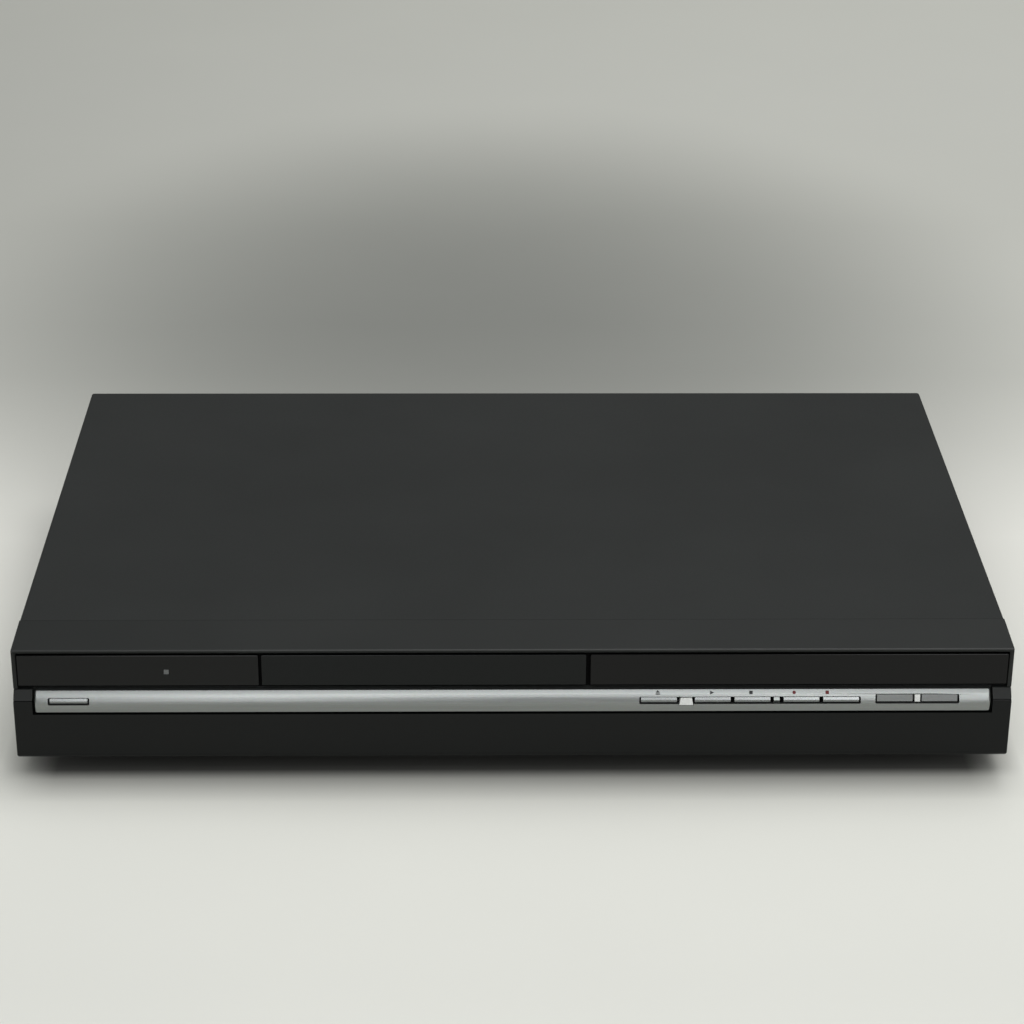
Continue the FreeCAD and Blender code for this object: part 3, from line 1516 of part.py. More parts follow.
def traverse():
    half = s.traverse_half_width
    y = (disc_centre_y - s.traverse_front, traverse_hinge_y + 3)
    plate = box((drive_x - half, drive_x + half), y, (s.traverse_height, traverse_top))
    opening = box(
        around(drive_x, s.tray_slot_width),
        (disc_centre_y + s.spindle_radius + 4, traverse_hinge_y - 16),
        (s.traverse_height - 1, traverse_top + 1),
    )
    pieces = []
    bores = [opening]
    for side in (-1, 1):
        ends = in_order(side * (half - 2), side * (half + 7))
        pieces.append(rod("x", hinge_spot, s.traverse_pin, (drive_x + ends[0], drive_x + ends[1])))
        x = drive_x + side * s.rod_spread
        for middle in (rod_span[0] + 2, rod_span[1] - 2):
            pieces.append(
                box(around(x, 7.0), around(middle, rod_holder_span), (traverse_top - 0.4, rod_holder_top))
            )
            bore_span = (middle - 3, middle + 3)
            bores.append(rod("y", (x, rod_z), s.rod_radius + s.shaft_gap, bore_span))
    screw_x = drive_x + s.screw_spread
    middle = rod_span[0] + 4
    holder_z = (traverse_top - 0.4, rod_holder_top)
    pieces.append(box(around(screw_x, 6.0), around(middle, rod_holder_span), holder_z))
    bores.append(rod("y", (screw_x, rod_z), s.lead_screw_radius + s.shaft_gap, (middle - 3, middle + 3)))
    node("traverse_plate", carve(join(plate, *pieces), *bores))
    rods = [rod("y", (drive_x + side * s.rod_spread, rod_z), s.rod_radius, rod_span) for side in (-1, 1)]
    node("guide_rods", bundle(*rods))
    spot = (screw_x, rod_z)
    motor = rod("y", spot, s.sled_motor_radius, (motor_front_y, motor_front_y + s.sled_motor_length))
    motor_bore = rod("y", spot, s.lead_screw_radius + s.shaft_gap, (motor_front_y - 1, motor_front_y + 5))
    node("sled_motor", carve(motor, motor_bore))
    node("lead_screw", rod("y", spot, s.lead_screw_radius, (rod_span[0] + 1, motor_front_y + 4)))
    stator = rod("z", disc_spot, s.spindle_radius, (traverse_top, spindle_top))
    stator_bore = rod("z", disc_spot, s.gear_pin + s.shaft_gap, (traverse_top - 1, spindle_top + 1))
    node("spindle_motor", carve(stator, stator_bore))
    table = rod("z", disc_spot, s.turntable_radius, (turntable_low, turntable_high))
    boss = cone(disc_spot, s.turntable_cone, s.turntable_cone_top, (turntable_high, cone_top))
    shaft = rod("z", disc_spot, s.gear_pin, (traverse_top + 0.6, turntable_high))
    node("turntable", join(table, boss, shaft))


def pickup():
    y = (pickup_front_y, pickup_back_y)
    rod_x = s.rod_spread + 4
    low = rod_z - 3.0
    base = box((drive_x - rod_x, drive_x + s.screw_spread + 3.5), y, (low, rod_z + 2.2))
    head_x = around(drive_x, 2 * s.pickup_head_half)
    head = box(head_x, (y[0] + 1, y[1] - 1), (rod_z, turntable_high - 0.6))
    lens_spot = (drive_x, disc_centre_y + s.pickup_offset - 4)
    lens = rod("z", lens_spot, s.lens_radius, (rod_z, turntable_high + 0.6))
    bore_y = (y[0] - 1, y[1] + 1)
    bores = []
    for across, radius in (
        (-s.rod_spread, s.rod_radius),
        (s.rod_spread, s.rod_radius),
        (s.screw_spread, s.lead_screw_radius),
    ):
        bores.append(rod("y", (drive_x + across, rod_z), radius + s.shaft_gap, bore_y))
    node("pickup", carve(join(base, head, lens), *bores))


# Hard disk

hard_disk_x = drive_right + s.hard_disk_gap
disk_x = (hard_disk_x, hard_disk_x + s.hard_disk_width)
disk_front_y = face_y + s.hard_disk_front
disk_y = (disk_front_y, disk_front_y + s.hard_disk_length)
bracket_top = board_low + s.sheet
disk_low = bracket_top + s.damper_height
damper_x = (disk_x[0] + s.damper_inset, disk_x[1] - s.damper_inset)
damper_y = (disk_y[0] + s.damper_setback, disk_y[1] - s.damper_setback)
damper_places = [(x, y) for x in damper_x for y in damper_y]


def hard_disk():
    top = disk_low + s.hard_disk_height
    case = slab(disk_x, disk_y, (disk_low, top - 3), "z", 3.0)
    lid = slab((disk_x[0] + 3, disk_x[1] - 3), (disk_y[0] + 3, disk_y[1] - 3), (top - 3, top), "z", 5.0)
    plug_x = (disk_x[0] + s.disk_plug_inset, disk_x[0] + s.disk_plug_inset + s.disk_plug_width)
    plug = box(plug_x, (disk_y[1], disk_y[1] + s.disk_plug_reach), (disk_low + 2, disk_low + 11))
    node("hard_disk", join(case, lid, plug))


def disk_bracket():
    margin = s.bracket_margin
    x = (disk_x[0] - margin, disk_x[1] + margin)
    y = (disk_y[0] + 6, disk_y[1] - 6)
    plate = box(x, y, (board_low, bracket_top))
    flange_top = bracket_top + 9
    flanges = [
        box((x[0], x[0] + s.sheet), y, (board_low, flange_top)),
        box((x[1] - s.sheet, x[1]), y, (board_low, flange_top)),
    ]
    legs = []
    for leg_x in (x[0] + 6, x[1] - 6):
        for leg_y in (y[0] + 6, y[1] - 6):
            legs.append(post((leg_x, leg_y), s.pillar_radius, floor_z, board_low + 0.4))
    window = box((x[0] + 25, x[1] - 25), (y[0] + 25, y[1] - 25), (board_low - 1, bracket_top + 1))
    node("disk_bracket", carve(join(plate, *flanges, *legs), window))


def disk_dampers():
    pieces = [post(spot, s.damper_radius, bracket_top, disk_low) for spot in damper_places]
    node("disk_dampers", bundle(*pieces))


# Boards

def board(x, y, z):
    holes = [screw_hole("z", spot, (z[0] - 1, z[1] + 1)) for spot in corner_places(x, y)]
    return carve(box(x, y, z), *holes)


def boards():
    level = (board_low, board_top)
    node("power_board", board(power_board_x, power_board_y, level))
    node("main_board", board(main_board_x, main_board_y, level))
    low, high = s.front_board_low, s.front_board_high
    back = front_board_y + s.board_thickness
    right = box((tube_left - 16, tube_right + 16), (front_board_y, back), (low, high))
    left = box((power_key_x - 15, power_key_x + 17), (front_board_y, back), (low, high - 4))
    holes = [screw_hole("y", centre, (front_board_y - 1, back + 1)) for centre in front_boss_places]
    node("front_board", carve(bundle(right, left), *holes))
    jack_x = (jack_board_left, jack_board_right)
    node("jack_board", box(jack_x, jack_board_y, (jack_board_low, jack_board_low + s.board_thickness)))


def board_screws():
    screws = [screw_along("z", spot, board_top, -1) for spot in pillar_places]
    back = front_board_y + s.board_thickness
    screws.extend(screw_along("y", centre, back, -1) for centre in front_boss_places)
    node("board_screws", bundle(*screws))


def front_board_parts():
    glass = slab(
        (tube_left, tube_right),
        (front_board_y - s.tube_depth, front_board_y),
        (s.tube_low, s.tube_high),
        "y",
        1.0,
    )
    node("display_tube", glass)
    switches = []
    for middle, _ in key_places.values():
        body = box(
            around(middle, s.switch_body),
            (front_board_y - s.switch_depth, front_board_y),
            around(key_middle, s.switch_body),
        )
        switches.append(body)
    node("key_switches", bundle(*switches))


def front_jacks():
    top = jack_board_low + s.board_thickness
    z = s.front_jack_height
    front = wall_y - s.front_jack_lead
    body_y = (wall_back_y + s.free_gap, wall_back_y + s.front_jack_depth)
    pieces = []
    for x in front_phono_places:
        block = box(around(x, s.front_phono_pitch - 0.6), body_y, (top, z + s.phono_block / 2))
        sleeve = rod("y", (x, z), s.phono_radius, (front, body_y[0] + 1))
        bore = rod("y", (x, z), s.phono_bore, (front - 1, body_y[1] - 2))
        pieces.append(carve(join(block, sleeve), bore))
    round_spot = (round_socket_x, z)
    block = box(around(round_socket_x, 2 * s.round_socket_radius), body_y, (top, z + s.phono_block / 2))
    barrel = rod("y", round_spot, s.round_socket_radius, (wall_y, body_y[0] + 1))
    bore = rod("y", round_spot, s.round_socket_bore, (wall_y - 1, body_y[0] + 5))
    pieces.append(carve(join(block, barrel), bore))
    wall = s.flat_socket_wall
    tall = s.flat_socket_height
    for x, width in ((data_socket_x, s.data_socket_width), (digital_socket_x, s.digital_socket_width)):
        shell = box(around(x, width), (wall_y, body_y[1]), around(z, tall))
        hollow = box(around(x, width - 2 * wall), (wall_y - 1, body_y[1] - 3), around(z, tall - 2 * wall))
        tongue = box(around(x, width - 4 * wall), (wall_y + 1, body_y[1] - 2.5), around(z + 1.1, 1.4))
        foot = box(around(x, width - 1), body_y, (top, z - tall / 2 + 0.3))
        pieces.append(join(carve(shell, hollow), tongue, foot))
    node("front_jacks", bundle(*pieces))


header_y = main_board_y[0] + s.header_setback
header_top = board_top + s.header_height
disk_plug = (disk_x[0] + s.disk_plug_inset, disk_x[0] + s.disk_plug_inset + s.disk_plug_width)
processor_x = s.main_board_left + s.processor_from_edge
headers = {
    "drive": (s.main_board_left + s.drive_ribbon_from_edge, s.drive_ribbon_width),
    "front": (drive_right + s.front_ribbon_gap, s.front_ribbon_width),
    "disk": ((disk_plug[0] + disk_plug[1]) / 2, s.disk_plug_width - 4),
}


def on_power_board(across, back):
    """A place on the power board: a share of its width in percent of 89, and a length from its front."""
    width = power_board_x[1] - power_board_x[0]
    return power_board_left + width * (across / 89), power_board_front + back * s.board_grid


def transformer():
    middle_x, middle_y = on_power_board(42, 109)
    core = box(
        around(middle_x, s.core_width),
        around(middle_y, s.core_length),
        (board_top, board_top + s.core_height),
    )
    low = board_top + (s.core_height - s.winding_height) / 2
    winding = box(
        around(middle_x, s.winding_width),
        around(middle_y, s.winding_length),
        (low, low + s.winding_height),
    )
    node("power_transformer", join(core, winding))


def capacitors():
    """Cans on the power board: across and back from its front left corner, radius and height."""
    cans = []
    for across, back, radius, height in (
        (24, 28, 11, 30),
        (52, 24, 8, 24),
        (70, 30, 5, 18),
        (66, 148, 6.5, 22),
        (48, 152, 5, 18),
        (30, 150, 5, 18),
        (70, 170, 4, 14),
    ):
        spot = on_power_board(across, back)
        cans.append(post(spot, radius * s.board_grid, board_top, board_top + height * s.board_grid))
    node("power_capacitors", bundle(*cans))


def heat_sinks():
    outer_x, outer_y = on_power_board(12, 67)
    inner_x, inner_y = on_power_board(75, 108)
    high = board_top + s.sink_height
    chip_top = board_top + s.processor_height
    chip_y = main_board_front + s.processor_setback
    sinks = [
        heat_sink(around(outer_x, s.sink_width), around(outer_y, s.sink_length), board_top, high),
        heat_sink(around(inner_x, s.sink_width), around(inner_y, s.sink_length), board_top, high),
        heat_sink(
            around(processor_x, s.processor_size + 3),
            around(chip_y, s.processor_size + 3),
            chip_top,
            chip_top + s.sink_base + 6,
        ),
    ]
    node("heat_sinks", bundle(*sinks))


def heat_sink(x, y, low, high):
    """A block with slots cut into it from above, standing along Y."""
    block = box(x, y, (low, high))
    tools = []
    count = 4
    width = (y[1] - y[0]) / (2 * count + 1)
    for index in range(count):
        start = y[0] + width * (2 * index + 1)
        tools.append(box((x[0] - 1, x[1] + 1), (start, start + width), (low + s.sink_base, high + 1)))
    return carve(block, *tools)


def chips():
    """The processor, the memory and other chips, and the headers that the ribbons plug into."""
    pieces = [
        box(
            around(processor_x, s.processor_size),
            around(main_board_front + s.processor_setback, s.processor_size),
            (board_top, board_top + s.processor_height),
        )
    ]
    for across, back, width, length, height in (
        (30, 18, 20, 8, 1.2),
        (30, 30, 20, 8, 1.2),
        (116, 26, 14, 20, 1.4),
        (177, 30, 18, 14, 1.4),
        (70, 34, 18, 18, 1.4),
    ):
        grid = s.board_grid
        x = s.main_board_left + across * grid
        y = main_board_front + back * grid
        top = board_top + height * grid
        pieces.append(box(around(x, width * grid), around(y, length * grid), (board_top, top)))
    for middle, width in headers.values():
        x = around(middle, width + s.header_margin)
        pieces.append(box(x, around(header_y, s.header_length), (board_top, header_top)))
    node("board_chips", bundle(*pieces))


def flat_cables():
    """Ribbons between the drive, the hard disk, the front board and the main board."""
    rise = 1
    drive_z = drive_floor + 8
    drive_path = [
        (drive_back_y, drive_z),
        (drive_back_y + 3, drive_z),
        (drive_back_y + 3, header_top + rise),
        (header_y, header_top + rise),
        (header_y, header_top),
    ]
    plug_end = disk_y[1] + s.disk_plug_reach
    disk_path = [
        (plug_end, disk_low + 7),
        (plug_end + 4, disk_low + 7),
        (header_y, header_top + rise),
        (header_y, header_top),
    ]
    board_back = front_board_y + s.board_thickness
    along_floor = floor_z + s.panel_wall
    front_path = [
        (board_back, s.front_board_low + 6),
        (board_back + 3, s.front_board_low + 6),
        (board_back + 3, along_floor),
        (main_board_front - 4, along_floor),
        (main_board_front - 4, header_top + rise),
        (header_y, header_top + rise),
        (header_y, header_top),
    ]
    paths = {"drive": drive_path, "disk": disk_path, "front": front_path}
    pieces = [ribbon(around(*headers[name]), path) for name, path in paths.items()]
    node("flat_cables", bundle(*pieces))


def ribbon(span, path):
    """A strip that follows a path in the YZ plane, thickened towards one side."""
    thick = s.ribbon_thickness
    path = [(as_size(y), as_size(z)) for y, z in path]
    normals = []
    for (y0, z0), (y1, z1) in zip(path, path[1:]):
        along, up = y1.value - y0.value, z1.value - z0.value
        length = math.hypot(along, up)
        normals.append((-up / length, along / length))
    shifted = []
    for index, (y, z) in enumerate(path):
        before = normals[max(index - 1, 0)]
        after = normals[min(index, len(normals) - 1)]
        scale = 1 + before[0] * after[0] + before[1] * after[1]
        push_y = (before[0] + after[0]) / scale
        push_z = (before[1] + after[1]) / scale
        shifted.append((y + thick * push_y, z + thick * push_z))
    return prism("x", span, path + shifted[::-1])


# Assembly

for build in (
    top_cover,
    bottom_chassis,
    feet,
    case_screws,
    front_frame,
    windows,
    tray_door,
    key_strip,
    keys,
    indicator_lenses,
    front_flap,
    rear_panel,
    phono_sockets,
    scart_sockets,
    digital_sockets,
    tuner_can,
    mains_inlet,
    fan,
    disc_tray,
    drive_base,
    drive_cover,
    disc_clamp,
    loading_gears,
    loading_belt,
    traverse,
    pickup,
    hard_disk,
    disk_bracket,
    disk_dampers,
    boards,
    board_screws,
    front_board_parts,
    front_jacks,
    transformer,
    capacitors,
    heat_sinks,
    chips,
    flat_cables,
):
    build()

doc.recompute()
faults = []
for item in doc.Objects:
    if "Invalid" in item.State or "Error" in item.State:
        faults.append(f"{item.Name} ({item.Label}): {item.State}")
for name, piece in nodes.items():
    if piece.Shape.isNull() or not piece.Shape.isValid():
        faults.append(f"{name}: no valid shape")
if faults:
    raise RuntimeError("\n".join(faults))

os.makedirs("parts", exist_ok=True)
for name, piece in nodes.items():
    piece.Shape.exportStep(os.path.join("parts", f"{name}.step"))
    extent = piece.Shape.BoundBox
    print(
        f"{name}: {len(piece.Shape.Solids)} solids, volume {piece.Shape.Volume:.1f},"
        f" x {extent.XMin:.2f} {extent.XMax:.2f}, y {extent.YMin:.2f} {extent.YMax:.2f},"
        f" z {extent.ZMin:.2f} {extent.ZMax:.2f}"
    )
print(f"{len(nodes)} parts written")
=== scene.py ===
import math

import bmesh
import bpy
from mathutils import Matrix, Vector
from mathutils.bvhtree import BVHTree


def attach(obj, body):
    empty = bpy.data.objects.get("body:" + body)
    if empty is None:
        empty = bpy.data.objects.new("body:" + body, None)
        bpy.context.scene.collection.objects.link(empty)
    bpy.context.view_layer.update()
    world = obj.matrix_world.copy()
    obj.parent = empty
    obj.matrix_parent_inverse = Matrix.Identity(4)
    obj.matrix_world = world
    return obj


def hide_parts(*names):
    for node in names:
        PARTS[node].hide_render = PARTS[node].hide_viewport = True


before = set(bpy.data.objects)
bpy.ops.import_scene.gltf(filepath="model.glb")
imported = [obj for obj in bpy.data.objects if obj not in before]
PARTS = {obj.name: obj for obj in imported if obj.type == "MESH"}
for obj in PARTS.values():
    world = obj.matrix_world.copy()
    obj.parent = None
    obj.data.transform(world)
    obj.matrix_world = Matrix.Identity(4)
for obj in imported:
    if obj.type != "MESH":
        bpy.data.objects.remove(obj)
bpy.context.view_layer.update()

MM = 0.001

# Faces that meet under this angle are shaded as one surface.
SHARP = math.radians(28)

# Noise keeps mostly between these two values.
NOISE = (0.3, 0.7)

# Places on the solids, in metres.
NEAR = 0.0001
HALF_WIDTH = 0.215
END_ZONE = 0.2142
PANE_FACE = -0.1388
RECESS_FACE = -0.1366
RECESS_FOOT = 0.0438
VISOR_FRONT = -0.1384
VISOR_RUN = 0.0218
VISOR_TAPER = 0.0007
VISOR_EDGE_BACK = -0.1387
VISOR_EDGE_LOW = 0.0621
VISOR_EDGE_HIGH = 0.0628
KEY_ROOT = -0.1385
STRIP_FRONT = -0.1372
STRIP_HALF = 0.2058
FLAP_FOOT = 0.0114
FLAP_CORNER = 0.0019
TRAY_RIM = 0.0535


# Colours

def tone(red, green, blue):
    """A colour as the eye names it, 0 to 255, turned into light values."""
    values = []
    for amount in (red, green, blue):
        share = amount / 255
        values.append(share / 12.92 if share <= 0.04045 else ((share + 0.055) / 1.055) ** 2.4)
    return (*values, 1.0)


def stepped(base, step):
    """A colour a few steps lighter or darker."""
    return tone(*(value + step for value in base))


def scaled(base, share):
    """A colour with its amounts multiplied."""
    return tone(*(value * share for value in base))


# Shader maths

class Wire:
    """A socket of a finish, so that its patterns are written as sums."""

    def __init__(self, finish, socket):
        self.finish = finish
        self.socket = socket

    def sum(self, operation, other):
        settings = {"operation": operation}
        return self.finish.node("ShaderNodeMath", settings, {0: self, 1: other})

    def __add__(self, other):
        return self.sum("ADD", other)

    def __sub__(self, other):
        return self.sum("SUBTRACT", other)

    def __mul__(self, other):
        return self.sum("MULTIPLY", other)

    def __gt__(self, other):
        return self.sum("GREATER_THAN", other)

    def __lt__(self, other):
        return self.sum("LESS_THAN", other)

    def __mod__(self, other):
        return self.sum("FLOORED_MODULO", other)

    def __abs__(self):
        return self.sum("ABSOLUTE", 0.0)


def stripes(place, pitch):
    """The distance from the middle of each of a row of equal stripes."""
    return abs((place % pitch) - pitch / 2)


class Finish:
    """A procedural material. Its patterns read Object coordinates, in metres."""

    def __init__(self, name, **constants):
        self.material = bpy.data.materials.new(name)
        self.material.use_nodes = True
        self.tree = self.material.node_tree
        self.shader = self.tree.nodes["Principled BSDF"]
        self.spot = self.node("ShaderNodeTexCoord", out="Object")
        for key, value in constants.items():
            self.set(key.replace("_", " "), value)

    def node(self, kind, settings=None, sockets=None, out=0):
        """A shader node with its settings and its inputs, as the wire from one of its outputs."""
        made = self.tree.nodes.new(kind)
        for key, value in (settings or {}).items():
            if key == "stops":
                ramp = made.color_ramp
                while len(ramp.elements) < len(value):
                    ramp.elements.new(0.5)
                for element, (place, colour) in zip(ramp.elements, value):
                    element.position = place
                    element.color = colour
            else:
                setattr(made, key, value)
        for key, value in (sockets or {}).items():
            self.feed(made.inputs[key], value)
        return Wire(self, made.outputs[out])

    def feed(self, socket, value):
        if isinstance(value, Wire):
            self.tree.links.new(value.socket, socket)
        else:
            socket.default_value = value

    def set(self, socket, value):
        self.feed(self.shader.inputs[socket], value)

    def axes(self):
        split = self.node("ShaderNodeSeparateXYZ", None, {0: self.spot})
        outputs = split.socket.node.outputs
        return [Wire(self, outputs[index]) for index in range(3)]

    def stretched(self, scale):
        sockets = {"Vector": self.spot, "Scale": scale}
        return self.node("ShaderNodeMapping", {"vector_type": "POINT"}, sockets)

    def cloud(self, scale, detail, rough=0.5, where=None):
        """Soft noise, 0 to 1, with so many blotches to a metre."""
        sockets = {
            "Vector": where or self.spot,
            "Scale": scale,
            "Detail": detail,
            "Roughness": rough,
        }
        return self.node("ShaderNodeTexNoise", None, sockets)

    def cells(self, scale, out="Distance", distance="EUCLIDEAN"):
        """Cells with so many to a metre: the way to each middle, or a colour for each."""
        sockets = {"Vector": self.spot, "Scale": scale}
        return self.node("ShaderNodeTexVoronoi", {"distance": distance}, sockets, out)

    def lots(self, scale, distance="EUCLIDEAN"):
        """Cells that each have one random value from 0 to 1, and their colours."""
        colours = self.cells(scale, "Color", distance)
        return self.node("ShaderNodeSeparateColor", None, {0: colours}), colours

    def blend(self, share, first, second, mode="MIX"):
        """Two colours, at inputs 6 and 7, mixed by a share from 0 to 1 into output 2."""
        settings = {"data_type": "RGBA", "blend_type": mode}
        return self.node("ShaderNodeMix", settings, {0: share, 6: first, 7: second}, 2)

    def span(self, value, low, high, start=0.0, end=1.0):
        """A value carried from one range to another and held at its ends."""
        sockets = {0: value, 1: low, 2: high, 3: start, 4: end}
        return self.node("ShaderNodeMapRange", None, sockets)

    def relief(self, height, depth, strength, under=None):
        """Bumps of a real depth in metres."""
        sockets = {"Height": height, "Distance": depth, "Strength": strength}
        if under is not None:
            sockets["Normal"] = under
        return self.node("ShaderNodeBump", None, sockets)

    def colour(self, share, first, second):
        """The two colours of the surface, mixed by a pattern."""
        self.set("Base Color", self.blend(share, first, second))

    def dullness(self, pattern, low, high, reach=NOISE):
        """Roughness between two values, by a pattern that keeps within its reach."""
        self.set("Roughness", self.span(pattern, *reach, low, high))


# Finishes of the case

def powder_coat(name, base):
    """Baked black paint on steel, with its fine orange peel."""
    coat = Finish(name, Specular_IOR_Level=0.22)
    grain = coat.cloud(2600, 3.0, 0.6)
    haze = coat.cloud(9, 3.0, 0.55)
    speck = coat.cells(1500)
    coat.colour(coat.span(haze, *NOISE), stepped(base, -3), stepped(base, 3))
    coat.dullness(grain, 0.52, 0.64)
    peel = coat.relief(speck, 0.000035, 0.35)
    coat.set("Normal", coat.relief(grain, 0.00003, 0.5, peel))
    return coat.material


def grained_moulding(name, base, rough, level):
    """Black plastic from a spark-eroded mould."""
    skin = Finish(name, Specular_IOR_Level=level)
    grain = skin.cloud(3200, 4.0, 0.65)
    haze = skin.cloud(14, 2.0)
    skin.colour(skin.span(haze, *NOISE), stepped(base, -3), stepped(base, 2))
    skin.dullness(grain, *rough)
    skin.set("Normal", skin.relief(grain, 0.00002, 0.4))
    return skin.material


def polished_pane(name, base, rough, level):
    """Glossy dark plastic: faint moulding waves, and dust so fine that it only dulls the shine."""
    pane = Finish(name, Specular_IOR_Level=level)
    ripple = pane.cloud(60, 1.0)
    dust = pane.cloud(5200, 2.0, 0.7)
    smear = pane.cloud(22, 3.0, 0.6, pane.stretched((1.0, 1.0, 2.2)))
    pane.colour(pane.span(dust, 0.55, 0.75), tone(*base), stepped(base, 5))
    pane.dullness(smear, rough, rough + 0.07, (0.25, 0.75))
    pane.set("Normal", pane.relief(ripple, 0.000006, 0.6))
    return pane.material


def silver_paint(name, base, metal, rough, streaks):
    """Satin silver lacquer with flake, and a faint brushing along its length."""
    paint = Finish(name, Specular_IOR_Level=0.5)
    brush = paint.cloud(1.0, 4.0, 0.7, paint.stretched((16.0, 2400.0, 2400.0)))
    band = paint.cloud(1.0, 2.0, 0.5, paint.stretched((9.0, 240.0, 240.0)))
    fleck, flake = paint.lots(4200)
    drawn = paint.span(brush * 0.6 + band * 0.4, 0.34, 0.66)
    lacquer = paint.blend(drawn, stepped(base, -20 * streaks), stepped(base, 12 * streaks))
    paint.set("Base Color", paint.blend(0.06, lacquer, flake, "OVERLAY"))
    paint.set("Metallic", paint.span(fleck, 0.0, 1.0, metal - 0.06, metal + 0.06))
    paint.dullness(brush, *rough)
    paint.set("Normal", paint.relief(brush, 0.000001, 0.5))
    return paint.material


def frosted(name, base):
    """A milky light guide."""
    lens = Finish(name, Specular_IOR_Level=0.5)
    milk = lens.cloud(900, 2.0)
    grain = lens.cloud(6000, 2.0)
    lens.colour(milk, stepped(base, -14), tone(*base))
    lens.dullness(grain, 0.3, 0.42)
    lens.set("Normal", lens.relief(grain, 0.00001, 0.3))
    return lens.material


def dull_print(name, base):
    """Screen-printed ink, a little uneven."""
    ink = Finish(name, Specular_IOR_Level=0.3)
    pores = ink.cloud(7000, 2.0)
    ink.colour(pores, tone(*base), stepped(base, 10))
    ink.dullness(pores, 0.55, 0.75)
    return ink.material


# Finishes of metals

def zinc_plate(name, base, rough):
    """Galvanised sheet: frosty crystals under a rolled grain."""
    sheet = Finish(name, Metallic=1.0)
    crystals, _ = sheet.lots(360.0)
    rolled = sheet.cloud(1.0, 3.0, 0.6, sheet.stretched((30.0, 900.0, 900.0)))
    cloudy = sheet.cloud(30, 3.0)
    tint = sheet.span(crystals * 0.25 + rolled * 0.4 + cloudy * 0.35, 0.25, 0.75)
    sheet.colour(tint, stepped(base, -16), tone(*base))
    sheet.dullness(crystals * 0.25 + cloudy * 0.75, *rough, (0.2, 0.8))
    sheet.set("Normal", sheet.relief(rolled, 0.000006, 0.4))
    return sheet.material


def bright_metal(name, base, rough, scale=(900.0, 900.0, 900.0)):
    """Plated or turned metal with hairline tool marks."""
    metal = Finish(name, Metallic=1.0)
    marks = metal.cloud(1.0, 3.0, 0.6, metal.stretched(scale))
    tarnish = metal.cloud(120, 3.0)
    metal.colour(tarnish, scaled(base, 0.86), tone(*base))
    metal.dullness(marks, *rough)
    metal.set("Normal", metal.relief(marks, 0.000004, 0.5))
    return metal.material


def cast_metal(name, base):
    """Die-cast alloy: pebbly skin and darker hollows."""
    cast = Finish(name, Metallic=0.9)
    pebble = cast.cells(900)
    skin = cast.cloud(420, 4.0, 0.6)
    cast.colour(skin, stepped(base, -28), tone(*base))
    cast.dullness(skin, 0.42, 0.58)
    hollows = cast.relief(skin, 0.00005, 0.3)
    cast.set("Normal", cast.relief(pebble, 0.00004, 0.35, hollows))
    return cast.material


# Finishes of the works

def moulded(name, base, rough=(0.42, 0.56), level=0.45, grain=2600.0, depth=0.00002):
    """Plain injection-moulded plastic with flow haze and a fine grain."""
    body = Finish(name, Specular_IOR_Level=level)
    fine = body.cloud(grain, 3.0, 0.6)
    flow = body.cloud(45, 3.0)
    body.colour(body.span(flow, *NOISE), scaled(base, 0.88), tone(*base))
    body.dullness(fine, *rough)
    body.set("Normal", body.relief(fine, depth, 0.4))
    return body.material


def rubber(name, base):
    """Soft rubber with a talc bloom."""
    skin = Finish(name, Specular_IOR_Level=0.3)
    bloom = skin.cloud(260, 4.0, 0.6)
    pores = skin.cells(3000)
    skin.colour(skin.span(bloom, 0.45, 0.75), tone(*base), stepped(base, 22))
    skin.dullness(bloom, 0.7, 0.85)
    skin.set("Normal", skin.relief(pores, 0.00003, 0.3))
    return skin.material


def circuit_board(name, mask, copper, tin):
    """Lacquered board: lots of tracks under the mask, lengthways or crossways, and tinned pads."""
    pitch = 0.0019
    half_track = 0.0003
    board = Finish(name, Specular_IOR_Level=0.5)
    x, y, _ = board.axes()
    lot, _ = board.lots(46.0, "CHEBYCHEV")
    lengthways = (stripes(x, pitch) < half_track) * (lot < 0.42)
    crossways = (stripes(y, pitch) < half_track) * (lot > 0.56)
    tracks = lengthways + crossways
    pads = (board.cells(240) < 0.17) * (board.cloud(55, 2.0) > 0.5)
    weave = board.cloud(1400, 2.0)
    ground = board.blend(board.span(weave, *NOISE), tone(*mask), scaled(mask, 1.15))
    printed = board.blend(tracks, ground, tone(*copper))
    board.colour(pads, printed, tone(*tin))
    board.set("Metallic", pads * 0.8)
    board.dullness(tracks + pads, 0.34, 0.26, (0.0, 1.0))
    board.set("Normal", board.relief(tracks + pads, 0.00003, 0.6))
    return board.material


def ribbon(name):
    """Flat cable: pale jacket with the shine of its parallel wires."""
    pitch = 0.001
    cable = Finish(name, Specular_IOR_Level=0.5)
    x, _, _ = cable.axes()
    wires = stripes(x, pitch) * (2 / pitch)
    cable.colour(wires, tone(206, 208, 208), tone(160, 163, 166))
    cable.dullness(wires, 0.32, 0.48, (0.0, 1.0))
    cable.set("Normal", cable.relief(wires, 0.00008, 0.5))
    return cable.material


def wound_tape(name):
    """Amber tape in turns round the transformer's coil."""
    tape = Finish(name, Specular_IOR_Level=0.5)
    _, _, z = tape.axes()
    turns = (z % 0.0065) * 150.0
    wrinkle = tape.cloud(300, 3.0)
    tape.colour(turns, tone(196, 150, 40), tone(220, 178, 62))
    tape.dullness(wrinkle, 0.22, 0.4)
    tape.set("Normal", tape.relief(turns + wrinkle, 0.00006, 0.5))
    return tape.material


